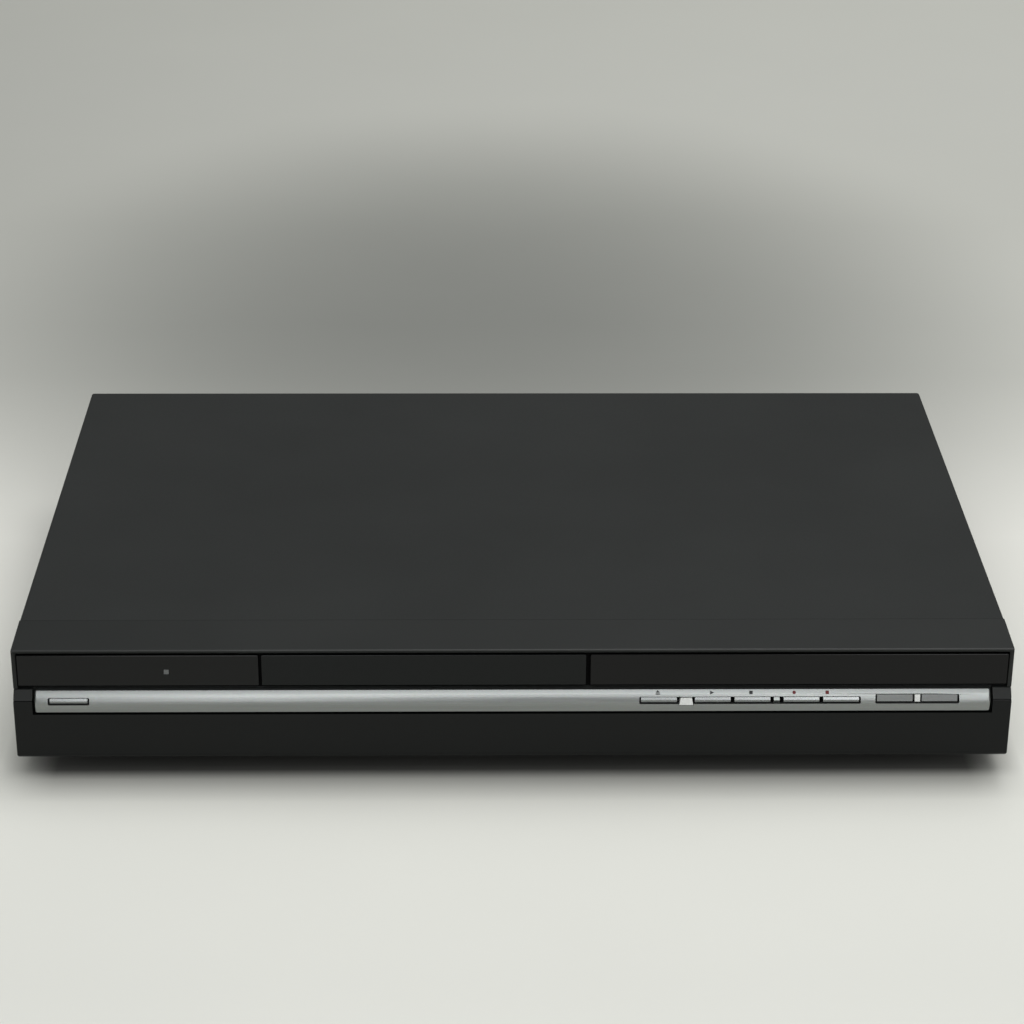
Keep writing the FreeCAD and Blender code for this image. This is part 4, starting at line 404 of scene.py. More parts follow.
def display_glass(name):
    """Sealed display tube: a row of unlit figures behind dark glass with a fine grid."""
    grid_pitch, figure_pitch = 0.0008, 0.0098
    figure_half, figure_level, figure_rise = 0.0036, 0.0526, 0.0032
    glass = Finish(name, Specular_IOR_Level=0.6)
    x, _, z = glass.axes()
    mesh = stripes(x, grid_pitch) * (2 / grid_pitch)
    blocks = stripes(x, figure_pitch) < figure_half
    rows = abs(z - figure_level) < figure_rise
    figures = glass.blend(blocks * rows, tone(16, 22, 22), tone(44, 58, 56))
    glass.colour(mesh * 0.3, figures, tone(8, 10, 10))
    glass.dullness(mesh, 0.04, 0.1, (0.0, 1.0))
    return glass.material


# Shapes

def near(value, target):
    return abs(value - target) < NEAR


def merged_copy(name):
    """A copy of a carried-over node, its loose triangles joined and its flat faces made whole."""
    mesh = bmesh.new()
    mesh.from_mesh(PARTS[name].data)
    bmesh.ops.remove_doubles(mesh, verts=mesh.verts, dist=0.000001)
    bmesh.ops.dissolve_limit(
        mesh,
        angle_limit=math.radians(0.6),
        verts=mesh.verts,
        edges=mesh.edges,
    )
    return mesh


def bevel(mesh, edges, width, segments):
    bmesh.ops.bevel(
        mesh,
        geom=edges,
        offset=width,
        offset_type="OFFSET",
        segments=segments,
        profile=0.5,
        affect="EDGES",
        clamp_overlap=True,
        material=-1,
    )


def soften(mesh, width, segments, chosen=None):
    """Rounds the sharp edges that a rule chooses by their middle, or all of them."""
    edges = []
    for edge in mesh.edges:
        if len(edge.link_faces) != 2 or edge.calc_face_angle(0) < SHARP:
            continue
        middle = (edge.verts[0].co + edge.verts[1].co) / 2
        if chosen is None or chosen(middle):
            edges.append(edge)
    bevel(mesh, edges, width, segments)


def cut_level(mesh, height):
    """Cuts every face at a height, so that each part of it can be painted or bent."""
    bmesh.ops.bisect_plane(
        mesh,
        geom=[*mesh.verts, *mesh.edges, *mesh.faces],
        plane_co=(0.0, 0.0, height),
        plane_no=(0.0, 0.0, 1.0),
    )


def paint(mesh, index, rule):
    """Gives the faces that a rule picks by their middle another of the piece's finishes."""
    for face in mesh.faces:
        if rule(face.calc_center_median()):
            face.material_index = index


def piece(name, mesh, materials, body="root", stands_for=(), steady=True):
    """A finished piece at the origin, riding its body."""
    data = bpy.data.meshes.new(name)
    mesh.to_mesh(data)
    mesh.free()
    for polygon in data.polygons:
        polygon.use_smooth = True
    data.set_sharp_from_angle(angle=SHARP)
    made = bpy.data.objects.new(name, data)
    bpy.context.scene.collection.objects.link(made)
    for material in materials if isinstance(materials, tuple) else (materials,):
        data.materials.append(material)
    if steady:
        even = made.modifiers.new("even_shading", "WEIGHTED_NORMAL")
        even.keep_sharp = True
    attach(made, body)
    if stands_for:
        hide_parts(*stands_for)


def block(mesh, x, y, z, width, segments):
    """A box given by its spans in millimetres, its edges rounded."""
    size = [(span[1] - span[0]) * MM for span in (x, y, z)]
    middle = [(span[1] + span[0]) / 2 * MM for span in (x, y, z)]
    place = Matrix.Translation(middle) @ Matrix.Diagonal((*size, 1.0))
    made = bmesh.ops.create_cube(mesh, size=1.0, matrix=place)
    edges = dict.fromkeys(edge for vert in made["verts"] for edge in vert.link_edges)
    bevel(mesh, list(edges), width * MM, segments)


# What turns an upright shape to each side.
TURNS = {
    "z": Matrix.Identity(4),
    "y": Matrix.Rotation(math.radians(-90), 4, "X"),
    "-y": Matrix.Rotation(math.radians(90), 4, "X"),
    "x": Matrix.Rotation(math.radians(90), 4, "Y"),
    "-x": Matrix.Rotation(math.radians(-90), 4, "Y"),
    "-z": Matrix.Rotation(math.radians(180), 4, "X"),
}


def facing(centre, axis):
    """The placement of a shape made upright at the origin."""
    return Matrix.Translation(Vector(centre) * MM) @ TURNS[axis]


def stamped(mesh, template, place):
    """Adds a copy of a small mesh, set down with a placement."""
    copy = template.copy()
    copy.transform(place)
    mesh.from_mesh(copy)
    bpy.data.meshes.remove(copy)


def turned(mesh, profile, centre, steps, axis="z"):
    """A profile of radii and heights in millimetres spun round an axis through a centre."""
    verts = [mesh.verts.new((radius * MM, 0.0, height * MM)) for radius, height in profile]
    edges = [mesh.edges.new(pair) for pair in zip(verts, verts[1:])]
    bmesh.ops.spin(
        mesh,
        geom=verts + edges,
        cent=(0, 0, 0),
        axis=(0, 0, 1),
        angle=math.tau,
        steps=steps,
        use_merge=True,
    )

    # The mesh may hold other shapes, so the spun one is found by walking along its edges.
    geometry = dict.fromkeys(vert for vert in verts if vert.is_valid)
    frontier = list(geometry)
    while frontier:
        vert = frontier.pop()
        for edge in vert.link_edges:
            other = edge.other_vert(vert)
            if other not in geometry:
                geometry[other] = None
                frontier.append(other)
    bmesh.ops.remove_doubles(mesh, verts=list(geometry), dist=0.000002)
    geometry = [vert for vert in geometry if vert.is_valid]
    bmesh.ops.transform(mesh, matrix=facing(centre, axis), verts=geometry)
    faces = dict.fromkeys(face for vert in geometry for face in vert.link_faces)
    bmesh.ops.recalc_face_normals(mesh, faces=list(faces))


# Finishes in use

LID = powder_coat("baked_black", (30, 32, 31))
MOULDING = grained_moulding("black_moulding", (28, 30, 29), (0.42, 0.54), 0.2)
# Near black painted on the recess behind the panes as shade, with hardly any shine.
RECESS = grained_moulding("recess_black", (9, 9, 9), (0.8, 0.9), 0.04)
# The visor's rounded edge: smoother and glossier, and lighter in colour as a painted highlight.
EDGE = grained_moulding("visor_edge", (34, 36, 35), (0.3, 0.4), 0.3)
LEFT_PANE = polished_pane("smoked_pane", (8, 9, 9), 0.09, 0.24)
RIGHT_PANE = polished_pane("smoked_display_pane", (9, 9, 9), 0.07, 0.21)
DOOR_PANE = polished_pane("drawer_front", (9, 12, 12), 0.2, 0.21)
FLAP_PANE = polished_pane("flap_lacquer", (8, 10, 10), 0.18, 0.2)
SILVER = silver_paint("silver_lacquer", (137, 140, 139), 0.92, (0.27, 0.34), 0.35)
KEY_SILVER = silver_paint("key_lacquer", (138, 141, 141), 0.92, (0.22, 0.29), 0.3)
SELECT_GREY = silver_paint("select_key_lacquer", (126, 128, 128), 0.6, (0.4, 0.48), 0.3)
LENS = frosted("frosted_guide", (214, 216, 214))
STANDBY = frosted("standby_guide", (96, 98, 98))
PRINT = dull_print("dark_print", (40, 40, 42))
RED_PRINT = dull_print("record_print", (92, 30, 32))
ZINC = zinc_plate("zinc_sheet", (168, 171, 171), (0.34, 0.46))
SCREW = bright_metal("black_zinc", (54, 54, 56), (0.3, 0.42))
FOOT = moulded("foot_plastic", (30, 31, 31), (0.5, 0.62), 0.35)
SOCKET = moulded("socket_plastic", (26, 26, 27), (0.4, 0.52))
FAN = moulded("fan_plastic", (22, 22, 23), (0.36, 0.48))
TRAY = moulded("tray_plastic", (74, 75, 78), (0.42, 0.56), 0.4, 3400.0)
WORKS = moulded("drive_plastic", (30, 30, 31))
ACETAL = moulded("acetal", (224, 221, 208), (0.34, 0.44), 0.5)
NICKEL = bright_metal("nickel", (214, 210, 196), (0.12, 0.22))
YELLOW = moulded("yellow_insert", (214, 176, 30), (0.3, 0.4))
WHITE = moulded("white_insert", (222, 222, 216), (0.3, 0.4))
RED = moulded("red_insert", (176, 30, 28), (0.3, 0.4))
BLUE = moulded("blue_insert", (34, 66, 158), (0.3, 0.4))
LEAF = moulded("green_insert", (34, 132, 62), (0.3, 0.4))
STEEL = bright_metal("ground_steel", (196, 198, 200), (0.12, 0.2))
ALUMINIUM = bright_metal("drawn_aluminium", (196, 199, 202), (0.3, 0.42), (900.0, 60.0, 60.0))
CAST = cast_metal("cast_alloy", (150, 152, 153))
RUBBER = rubber("belt_rubber", (24, 24, 25))
DAMPER = rubber("damper_rubber", (40, 40, 43))
GREEN = circuit_board("green_board", (24, 84, 48), (52, 118, 62), (196, 198, 190))
BROWN = circuit_board("brown_board", (150, 104, 56), (176, 128, 70), (206, 204, 196))
GLASS = display_glass("display_glass")
CHIP = moulded("chip_epoxy", (30, 30, 31), (0.5, 0.64), 0.35, 5200.0, 0.00003)
TAPE = wound_tape("amber_tape")
CABLE = ribbon("flat_cable")

FINISHES = {
    "top_cover": LID,
    "bottom_chassis": ZINC,
    "feet": FOOT,
    "case_screws": SCREW,
    "front_frame": MOULDING,
    "left_window": LEFT_PANE,
    "display_window": RIGHT_PANE,
    "tray_door": DOOR_PANE,
    "key_strip": SILVER,
    "indicator_lenses": LENS,
    "front_flap": FLAP_PANE,
    "rear_panel": ZINC,
    "phono_blocks": SOCKET,
    "phono_sleeves": NICKEL,
    "scart_sockets": SOCKET,
    "digital_sockets": STEEL,
    "tuner_can": STEEL,
    "mains_inlet": SOCKET,
    "fan_frame": FAN,
    "fan_rotor": FAN,
    "disc_tray": TRAY,
    "drive_base": WORKS,
    "drive_cover": ZINC,
    "disc_clamp": ACETAL,
    "tray_gear": ACETAL,
    "belt_pulley": ACETAL,
    "motor_pulley": ACETAL,
    "loading_motor": STEEL,
    "loading_belt": RUBBER,
    "traverse_plate": ZINC,
    "guide_rods": STEEL,
    "sled_motor": STEEL,
    "lead_screw": STEEL,
    "spindle_motor": STEEL,
    "turntable": WORKS,
    "pickup": CAST,
    "hard_disk": CAST,
    "disk_bracket": ZINC,
    "disk_dampers": DAMPER,
    "power_board": BROWN,
    "main_board": GREEN,
    "front_board": GREEN,
    "jack_board": GREEN,
    "board_screws": STEEL,
    "display_tube": GLASS,
    "key_switches": CHIP,
    "front_jacks": SOCKET,
    "power_transformer": TAPE,
    "power_capacitors": ALUMINIUM,
    "heat_sinks": ALUMINIUM,
    "board_chips": CHIP,
    "flat_cables": CABLE,
    "power_key": KEY_SILVER,
    "eject_key": KEY_SILVER,
    "play_key": KEY_SILVER,
    "stop_key": KEY_SILVER,
    "record_key": KEY_SILVER,
    "record_stop_key": KEY_SILVER,
    "hard_disk_key": SELECT_GREY,
    "disc_key": SELECT_GREY,
}
for label, node in PARTS.items():
    node.data.materials.clear()
    node.data.materials.append(FINISHES[label])


# The case

def moulded_front():
    """The front moulding: its visor narrows to the cover's width, its recess is painted near black
    as shade, and its visor's edge is painted lighter as a highlight.
    """
    moulding = merged_copy("front_frame")
    soften(moulding, 0.0005, 2, lambda middle: near(abs(middle.x), HALF_WIDTH))
    for vert in moulding.verts:
        behind = vert.co.y - VISOR_FRONT
        if abs(vert.co.x) > END_ZONE and behind > 0.0:
            vert.co.x -= math.copysign(VISOR_TAPER * behind / VISOR_RUN, vert.co.x)
    cut_level(moulding, RECESS_FOOT)

    def in_recess(middle):
        return near(middle.y, RECESS_FACE) and middle.z > RECESS_FOOT

    def on_visor_edge(middle):
        return middle.y < VISOR_EDGE_BACK and VISOR_EDGE_LOW < middle.z < VISOR_EDGE_HIGH

    # The recess is painted near black as shade; the visor's edge is painted lighter as a
    # highlight.
    paint(moulding, 1, in_recess)
    paint(moulding, 2, on_visor_edge)
    finishes = (MOULDING, RECESS, EDGE)
    piece("front_moulding", moulding, finishes, stands_for=["front_frame"])


def pane(source, name, material, slot, body="root"):
    """A pane of the front with softly rounded edges."""
    mesh = merged_copy(source)
    soften(mesh, 0.00035, 3, lambda middle: near(middle.y, PANE_FACE))
    piece(name, mesh, material, body, [source])


def case_pieces():
    """The cover, the front and its three panes."""
    piece("lid", merged_copy("top_cover"), LID, stands_for=["top_cover"])
    moulded_front()
    pane("left_window", "left_window_pane", LEFT_PANE, "smoked_window")
    pane("display_window", "display_window_pane", RIGHT_PANE, "smoked_window")
    pane("tray_door", "drawer_front", DOOR_PANE, "door_plastic", "tray")


# Feet: places across the bottom, then profiles of radii and heights, in millimetres.
FOOT_PLACES = [(x, y) for x in (-172.0, 172.0) for y in (-105.0, 102.5)]
FOOT_BODY = [
    (1.7, 5.0),
    (10.7, 5.0),
    (11.0, 4.7),
    (11.0, 1.0),
    (11.6, 0.4),
    (16.5, 0.4),
    (17.0, 0.9),
    (17.3, 3.0),
    (16.9, 3.3),
    (16.9, 3.9),
    (17.4, 4.2),
    (18.8, 11.6),
    (18.8, 12.1),
    (18.4, 12.5),
    (1.7, 12.5),
    (1.7, 5.0),
]
FOOT_PAD = [
    (12.3, 0.4),
    (12.5, 0.1),
    (12.7, 0.0),
    (15.6, 0.0),
    (15.8, 0.1),
    (16.0, 0.4),
    (12.3, 0.4),
]
FOOT_STEPS = 56


def foot_pieces():
    """Turned plastic feet with a groove near the floor and a ring of rubber under each."""
    bodies = bmesh.new()
    pads = bmesh.new()
    for x, y in FOOT_PLACES:
        turned(bodies, FOOT_BODY, (x, y, 0.0), FOOT_STEPS)
        turned(pads, FOOT_PAD, (x, y, 0.0), FOOT_STEPS)
    piece("turned_feet", bodies, FOOT, stands_for=["feet"])
    piece("foot_pads", pads, RUBBER)


# Screws, in millimetres.
SCREW_HEAD = 3.0
SCREW_SHANK = 1.5
SCREW_LENGTH = 6.0
FOOT_SCREW_LENGTH = 9.8
LOW_HEAD = 0.7
PAN_HEAD = 1.8
CROSS_DEPTH = 0.6
SIDE_SCREWS = [(side * 214.3, y, 22.0) for y in (-82.6, 110.5) for side in (1, -1)]
BACK_SCREWS = [(x, 136.5, 61.0) for x in (-190.0, 6.0, 190.0)]
FOOT_SEAT = 5.0


def screw_template(tall, length):
    """A pan-head screw with a cross recess, standing upright with its seat at the origin."""
    head, shank = SCREW_HEAD, SCREW_SHANK
    mesh = bmesh.new()
    profile = [
        (0.0, -length),
        (shank * 0.5, -length + 0.3),
        (shank, -length + 1.4),
        (shank, 0.0),
        (head, 0.0),
        (head, tall * 0.4),
        (head * 0.95, tall * 0.68),
        (head * 0.84, tall * 0.88),
        (head * 0.66, tall),
    ]
    turned(mesh, profile, (0.0, 0.0, 0.0), 24)
    rim = [edge for edge in mesh.edges if edge.is_boundary]
    arm, reach = head * 0.13, head * 0.5
    corners = []
    for quarter in range(4):
        spin = Matrix.Rotation(math.radians(90 * quarter), 3, "Z")
        for u, v in ((reach, -arm), (reach, arm), (arm, arm)):
            corners.append(mesh.verts.new(spin @ Vector((u, v, tall)) * MM))
    cross = [mesh.edges.new(pair) for pair in zip(corners, corners[1:] + corners[:1])]
    bmesh.ops.bridge_loops(mesh, edges=rim + cross)
    floor = mesh.faces.new(corners)
    sunk = bmesh.ops.extrude_face_region(mesh, geom=[floor])
    lowered = [item for item in sunk["geom"] if isinstance(item, bmesh.types.BMVert)]
    bmesh.ops.scale(mesh, vec=(0.7, 0.7, 1.0), verts=lowered)
    drop = (0.0, 0.0, -CROSS_DEPTH * min(tall, 1.2) * MM)
    bmesh.ops.translate(mesh, vec=drop, verts=lowered)
    if floor.is_valid:
        bmesh.ops.delete(mesh, geom=[floor], context="FACES_ONLY")
    bmesh.ops.recalc_face_normals(mesh, faces=mesh.faces)
    data = bpy.data.meshes.new("screw_template")
    mesh.to_mesh(data)
    mesh.free()
    return data


def screw_pieces():
    """The cover's screws at the sides and the back, and one up through each foot."""
    screws = bmesh.new()
    low = screw_template(LOW_HEAD, SCREW_LENGTH)
    for place in SIDE_SCREWS:
        stamped(screws, low, facing(place, "x" if place[0] > 0 else "-x"))
    pan = screw_template(PAN_HEAD, SCREW_LENGTH)
    for place in BACK_SCREWS:
        stamped(screws, pan, facing(place, "y"))
    long = screw_template(PAN_HEAD, FOOT_SCREW_LENGTH)
    for x, y in FOOT_PLACES:
        stamped(screws, long, facing((x, y, FOOT_SEAT), "-z"))
    piece("cross_screws", screws, SCREW, stands_for=["case_screws"])
    for template in (low, pan, long):
        bpy.data.meshes.remove(template)


# Silver bar and keys. Marks are corners about a middle, in millimetres.

PLAY = [(-0.75, -0.62), (0.95, 0.0), (-0.75, 0.62)]
EJECT_POINT = [(-0.95, 0.0), (0.95, 0.0), (0.0, 0.78)]
EJECT_BAR = [(-0.95, -0.62), (0.95, -0.62), (0.95, -0.22), (-0.95, -0.22)]
SQUARE = [(-0.75, -0.55), (0.75, -0.55), (0.75, 0.55), (-0.75, 0.55)]
DARK_MARKS = [(62.1, EJECT_POINT), (62.1, EJECT_BAR), (85.4, PLAY), (102.3, SQUARE)]
RED_MARKS = [(135.2, SQUARE)]
RECORD_DOT = (120.95, 0.74)
RECORD_DOT_RISE = 0.75
MARK_HEIGHT = 42.5
MARK_CUTS = [MARK_HEIGHT + step * 0.12 for step in range(-5, 6)]
IN_FRONT = -0.16
INK = 0.00002


def flat_print(marks):
    """Marks side by side in one upright plane."""
    mesh = bmesh.new()
    for middle, corners in marks:
        places = [((middle + u) * MM, 0.0, (MARK_HEIGHT + v) * MM) for u, v in corners]
        mesh.faces.new([mesh.verts.new(place) for place in places])
    return mesh


def printed_on(surface, mesh):
    """Cuts a flat print finely, lays it on a curved front and gives it the thickness of ink."""
    for height in MARK_CUTS:
        cut_level(mesh, height * MM)
    for vert in mesh.verts:
        start = Vector((vert.co.x, IN_FRONT, vert.co.z))
        hit = surface.ray_cast(start, Vector((0.0, 1.0, 0.0)))[0]
        vert.co.y = hit.y - INK / 2
    turned_in = [face for face in mesh.faces if face.normal.y > 0]
    bmesh.ops.reverse_faces(mesh, faces=turned_in)
    mesh.normal_update()
    bmesh.ops.solidify(mesh, geom=mesh.faces[:], thickness=INK)


def strip_marks(surface):
    """The plain transport marks above the keys."""
    dark = flat_print(DARK_MARKS)
    red = flat_print(RED_MARKS)
    middle, radius = RECORD_DOT
    place = Matrix.Translation(Vector((middle, 0.0, MARK_HEIGHT)) * MM)
    place = place @ Matrix.Rotation(math.radians(90), 4, "X")
    place = place @ Matrix.Diagonal((1.0, RECORD_DOT_RISE, 1.0, 1.0))
    bmesh.ops.create_circle(red, cap_ends=True, segments=24, radius=radius * MM, matrix=place)
    for name, mesh, material in (("dark_marks", dark, PRINT), ("red_marks", red, RED_PRINT)):
        mesh.normal_update()
        printed_on(surface, mesh)
        piece(name, mesh, material, steady=False)


def strip_pieces():
    """The silver bar with rounded ends, its marks, the key caps and the light guides."""
    strip = merged_copy("key_strip")
    surface = BVHTree.FromBMesh(strip)

    def at_ends(middle):
        return near(abs(middle.x), STRIP_HALF) and middle.y < STRIP_FRONT

    soften(strip, 0.0008, 3, at_ends)
    piece("silver_bar", strip, SILVER, stands_for=["key_strip"])
    strip_marks(surface)
    for name in PARTS:
        if name.endswith("_key"):
            cap = merged_copy(name)
            soften(cap, 0.0002, 2, lambda middle: middle.y < KEY_ROOT)
            piece(name + "_cap", cap, FINISHES[name], name, [name])
    lenses = merged_copy("indicator_lenses")
    soften(lenses, 0.00015, 2)
    paint(lenses, 1, lambda middle: middle.x < 0.0)
    guides = (LENS, STANDBY)
    piece("light_guides", lenses, guides, stands_for=["indicator_lenses"])


def flap_piece():
    """The flap, its two lower corners rounded."""
    flap = merged_copy("front_flap")
    soften(flap, 0.0004, 2, lambda middle: near(abs(middle.x), HALF_WIDTH))
    for vert in flap.verts:
        drop = FLAP_FOOT + FLAP_CORNER - vert.co.z
        if abs(vert.co.x) > END_ZONE and drop > 0.0:
            level = math.sqrt(max(FLAP_CORNER * FLAP_CORNER - drop * drop, 0.0))
            vert.co.x -= math.copysign(FLAP_CORNER - level, vert.co.x)
    piece("flap_front", flap, FLAP_PANE, "flap", ["front_flap"])


# Sockets, in millimetres, with profiles of radii and heights.

PHONO_LEVELS = (26.4, 39.0, 51.6)
PHONO_COLUMNS = [
    (22.0, (RED, WHITE, YELLOW)),
    (38.0, (RED, WHITE, YELLOW)),
    (54.0, (RED, BLUE, LEAF)),
]
REAR_PHONOS = [
    ((x, 132.7, z), colour)
    for x, colours in PHONO_COLUMNS
    for z, colour in zip(PHONO_LEVELS, colours)
]
FRONT_PHONOS = [
    ((168.0, -137.8, 25.5), YELLOW),
    ((180.0, -137.8, 25.5), WHITE),
    ((192.0, -137.8, 25.5), RED),
]
REAR_SHELL = [
    (3.45, 0.0),
    (3.45, 8.9),
    (3.65, 9.4),
    (3.9, 9.5),
    (4.1, 9.25),
    (4.1, 3.9),
    (4.9, 3.7),
    (4.9, 3.1),
    (4.1, 3.0),
    (4.1, 0.0),
    (3.45, 0.0),
]
REAR_CORE = [(1.9, 0.5), (1.9, 8.2), (2.2, 8.5), (3.0, 8.5), (3.4, 8.1), (3.4, 0.5), (1.9, 0.5)]
FRONT_CORE = [(1.9, 0.0), (1.9, 0.22), (2.1, 0.3), (3.1, 0.3), (3.4, 0.2), (3.4, 0.0), (1.9, 0.0)]
AERIAL_PLACES = [(160.0, 136.0, 34.0), (182.0, 136.0, 34.0)]
AERIAL_CORE = [
    (0.95, 0.0),
    (0.95, 1.2),
    (1.4, 1.5),
    (2.9, 1.5),
    (3.3, 1.2),
    (3.3, 0.0),
    (0.95, 0.0),
]
SOCKET_STEPS = 32
CONTACT_COUNT = 10
CONTACT_PITCH = 3.8
CONTACT_HALF = 0.8
CONTACT_RISE = 0.15
CONTACT_DEPTHS = (128.4, 135.6)
CONTACT_ROUND = 0.06
SCART_MIDDLE = -22.0
SCART_LEVELS = (30.5, 49.0)
SCART_TONGUE = 2.0

# Where the sockets stand out behind, and the inlet's pins, in metres.
SCART_FACE = 0.1355
DIGITAL_FACE = 0.1359
TUNER_FACE = 0.1366
INLET_FACE = 0.1362
INLET_FLOOR = 0.1195
INLET_LEVEL = 0.031
INLET_PINS = (-0.1703, -0.1617)
PIN_RADIUS = 0.00135


def phono_pieces():
    """Plated sleeves with coloured inserts, on the back and behind the flap."""
    shells = bmesh.new()
    inserts = {}
    for place, colour in REAR_PHONOS:
        turned(shells, REAR_SHELL, place, SOCKET_STEPS, "y")
        turned(inserts.setdefault(colour, bmesh.new()), REAR_CORE, place, SOCKET_STEPS, "y")
    for place, colour in FRONT_PHONOS:
        turned(inserts.setdefault(colour, bmesh.new()), FRONT_CORE, place, SOCKET_STEPS, "-y")
    piece("phono_shells", shells, NICKEL, stands_for=["phono_sleeves"])
    for colour, mesh in inserts.items():
        piece(colour.name + "s", mesh, colour)


def scart_contacts():
    """Two rows of contacts in each of the wide sockets, above and below its tongue."""
    contacts = bmesh.new()
    for z in SCART_LEVELS:
        for index in range(CONTACT_COUNT):
            x = SCART_MIDDLE + (index - (CONTACT_COUNT - 1) / 2) * CONTACT_PITCH
            across = (x - CONTACT_HALF, x + CONTACT_HALF)
            for side in (-1, 1):
                face = z + side * SCART_TONGUE
                rise = sorted((face, face + side * CONTACT_RISE))
                block(contacts, across, CONTACT_DEPTHS, rise, CONTACT_ROUND, 1)
    piece("scart_contacts", contacts, NICKEL)


def socket_pieces():
    """All sockets: sleeves, contacts and insulators, and the softened outsides."""
    phono_pieces()
    scart_contacts()
    insulators = bmesh.new()
    for place in AERIAL_PLACES:
        turned(insulators, AERIAL_CORE, place, SOCKET_STEPS, "y")
    piece("aerial_insulators", insulators, ACETAL)
    for name, slot, rule in (
        ("phono_blocks", "black_plastic", None),
        ("scart_sockets", "black_plastic", lambda middle: middle.y > SCART_FACE),
        ("digital_sockets", "bright_plating", lambda middle: middle.y > DIGITAL_FACE),
        ("tuner_can", "bright_plating", lambda middle: middle.y > TUNER_FACE),
    ):
        body = merged_copy(name)
        soften(body, 0.0003, 2, rule)
        piece(name + "_soft", body, FINISHES[name], stands_for=[name])
    inlet = merged_copy("mains_inlet")
    soften(inlet, 0.0004, 2, lambda middle: middle.y > INLET_FACE)

    def on_pin(middle):
        rise = middle.z - INLET_LEVEL
        gap = min(math.hypot(middle.x - x, rise) for x in INLET_PINS)
        return middle.y > INLET_FLOOR and gap < PIN_RADIUS

    paint(inlet, 1, on_pin)
    piece("inlet_soft", inlet, (SOCKET, NICKEL), stands_for=["mains_inlet"])


# Fan, in millimetres and degrees.

FAN_MIDDLE = (-86.0, 125.4, 41.0)
FAN_HUB = [
    (0.0, -8.3),
    (9.5, -8.3),
    (9.5, 7.3),
    (9.2, 8.0),
    (8.5, 8.3),
    (4.6, 8.3),
    (4.2, 8.0),
    (0.0, 8.0),
]
FAN_SHAFT = [(0.0, -10.3), (1.5, -10.3), (1.5, -8.2), (0.0, -8.2)]
BLADES = 7
BLADE_ROOT = 9.1
BLADE_REACH = 8.9
BLADE_CHORD = 13.6
BLADE_BOW = 1.1
BLADE_THICKNESS = 0.9
PITCH_AT_ROOT = 46
PITCH_LOSS = 14


def fan_blade():
    """One blade at the origin: curved round the axis, bowed, and flatter towards its tip."""
    blade = bmesh.new()
    bmesh.ops.create_grid(blade, x_segments=6, y_segments=9, size=0.5)
    for vert in blade.verts:
        share = vert.co.x + 0.5
        chord = vert.co.y
        radius = BLADE_ROOT + BLADE_REACH * share
        pitch = math.radians(PITCH_AT_ROOT - PITCH_LOSS * share)
        bow = BLADE_BOW * (1 - (2 * chord) ** 2)
        along = chord * BLADE_CHORD
        side = along * math.sin(pitch) + bow * math.cos(pitch)
        depth = along * math.cos(pitch) - bow * math.sin(pitch)
        turn = side / radius
        vert.co = Vector((radius * math.cos(turn), depth, radius * math.sin(turn))) * MM
    blade.normal_update()
    bmesh.ops.solidify(blade, geom=blade.faces[:], thickness=BLADE_THICKNESS * MM)
    bmesh.ops.recalc_face_normals(blade, faces=blade.faces)
    data = bpy.data.meshes.new("blade")
    blade.to_mesh(data)
    blade.free()
    return data


def fan_pieces():
    """A softened fan housing and a rotor with seven curved, twisted blades."""
    housing = merged_copy("fan_frame")
    soften(housing, 0.0004, 2)
    piece("fan_housing", housing, FAN, stands_for=["fan_frame"])
    rotor = bmesh.new()
    turned(rotor, FAN_HUB, FAN_MIDDLE, 48, "y")
    turned(rotor, FAN_SHAFT, FAN_MIDDLE, 20, "y")
    blade = fan_blade()
    middle = Matrix.Translation(Vector(FAN_MIDDLE) * MM)
    for index in range(BLADES):
        stamped(rotor, blade, middle @ Matrix.Rotation(math.tau * index / BLADES, 4, "Y"))
    bpy.data.meshes.remove(blade)
    piece("bladed_rotor", rotor, FAN, "fan", ["fan_rotor"])


# Drive

def drive_pieces():
    """The tray with its upper edges and its two disc rings rounded."""
    tray = merged_copy("disc_tray")
    soften(tray, 0.0004, 3, lambda middle: middle.z > TRAY_RIM)
    piece("soft_tray", tray, TRAY, "tray", ["disc_tray"])


# Studio. The floor's tones run from the front to the back over this stretch.

FLOOR_STRETCH = (-1.0, 1.2)
# The lighter band near the middle of the stretch, level with the case, is painted light.
FLOOR_TONES = [
    (0.0, (216, 216, 210)),
    (0.32, (217, 217, 211)),
    (0.41, (228, 228, 221)),
    (0.50, (248, 247, 240)),
    (0.60, (212, 212, 205)),
    (0.72, (203, 203, 196)),
    (0.86, (213, 213, 206)),
    (1.0, (222, 222, 214)),
]

# The oval shade behind the case: its colour, middle, narrowness, reach and depth.
FLOOR_SHADE = (96, 98, 95)
SHADE_MIDDLE = 0.33
SHADE_ACROSS = 9.0
SHADE_ALONG = 5.0
SHADE_REACH = (-0.4, 1.5)
SHADE_DEPTH = 0.74

# A little more shade behind the case, strongest at the left.
LEFT_SHADE = 0.2
LEFT_REACH = (-0.45, 0.45)
LEFT_START = (0.15, 0.4)

# The painted shadow under the case: where it starts and deepens at the front, and where it ends.
FLOOR_UNDER_SHADOW = (46, 47, 46)
UNDER_START = -0.16
UNDER_FOOT = -0.141
UNDER_FULL = -0.133
UNDER_EDGE_DEPTH = 0.34
UNDER_MORE_DEPTH = 0.54
UNDER_SIDES = (0.2, 0.225)
UNDER_BACK = (0.135, 0.15)

SKY_COLOUR = (0.94, 0.96, 0.95, 1.0)
SKY_LEAN = (0.0, 0.2, 0.98)
SKY_SPAN = (-0.1, 1.0)
SKY_LEVELS = (0.06, 0.62)

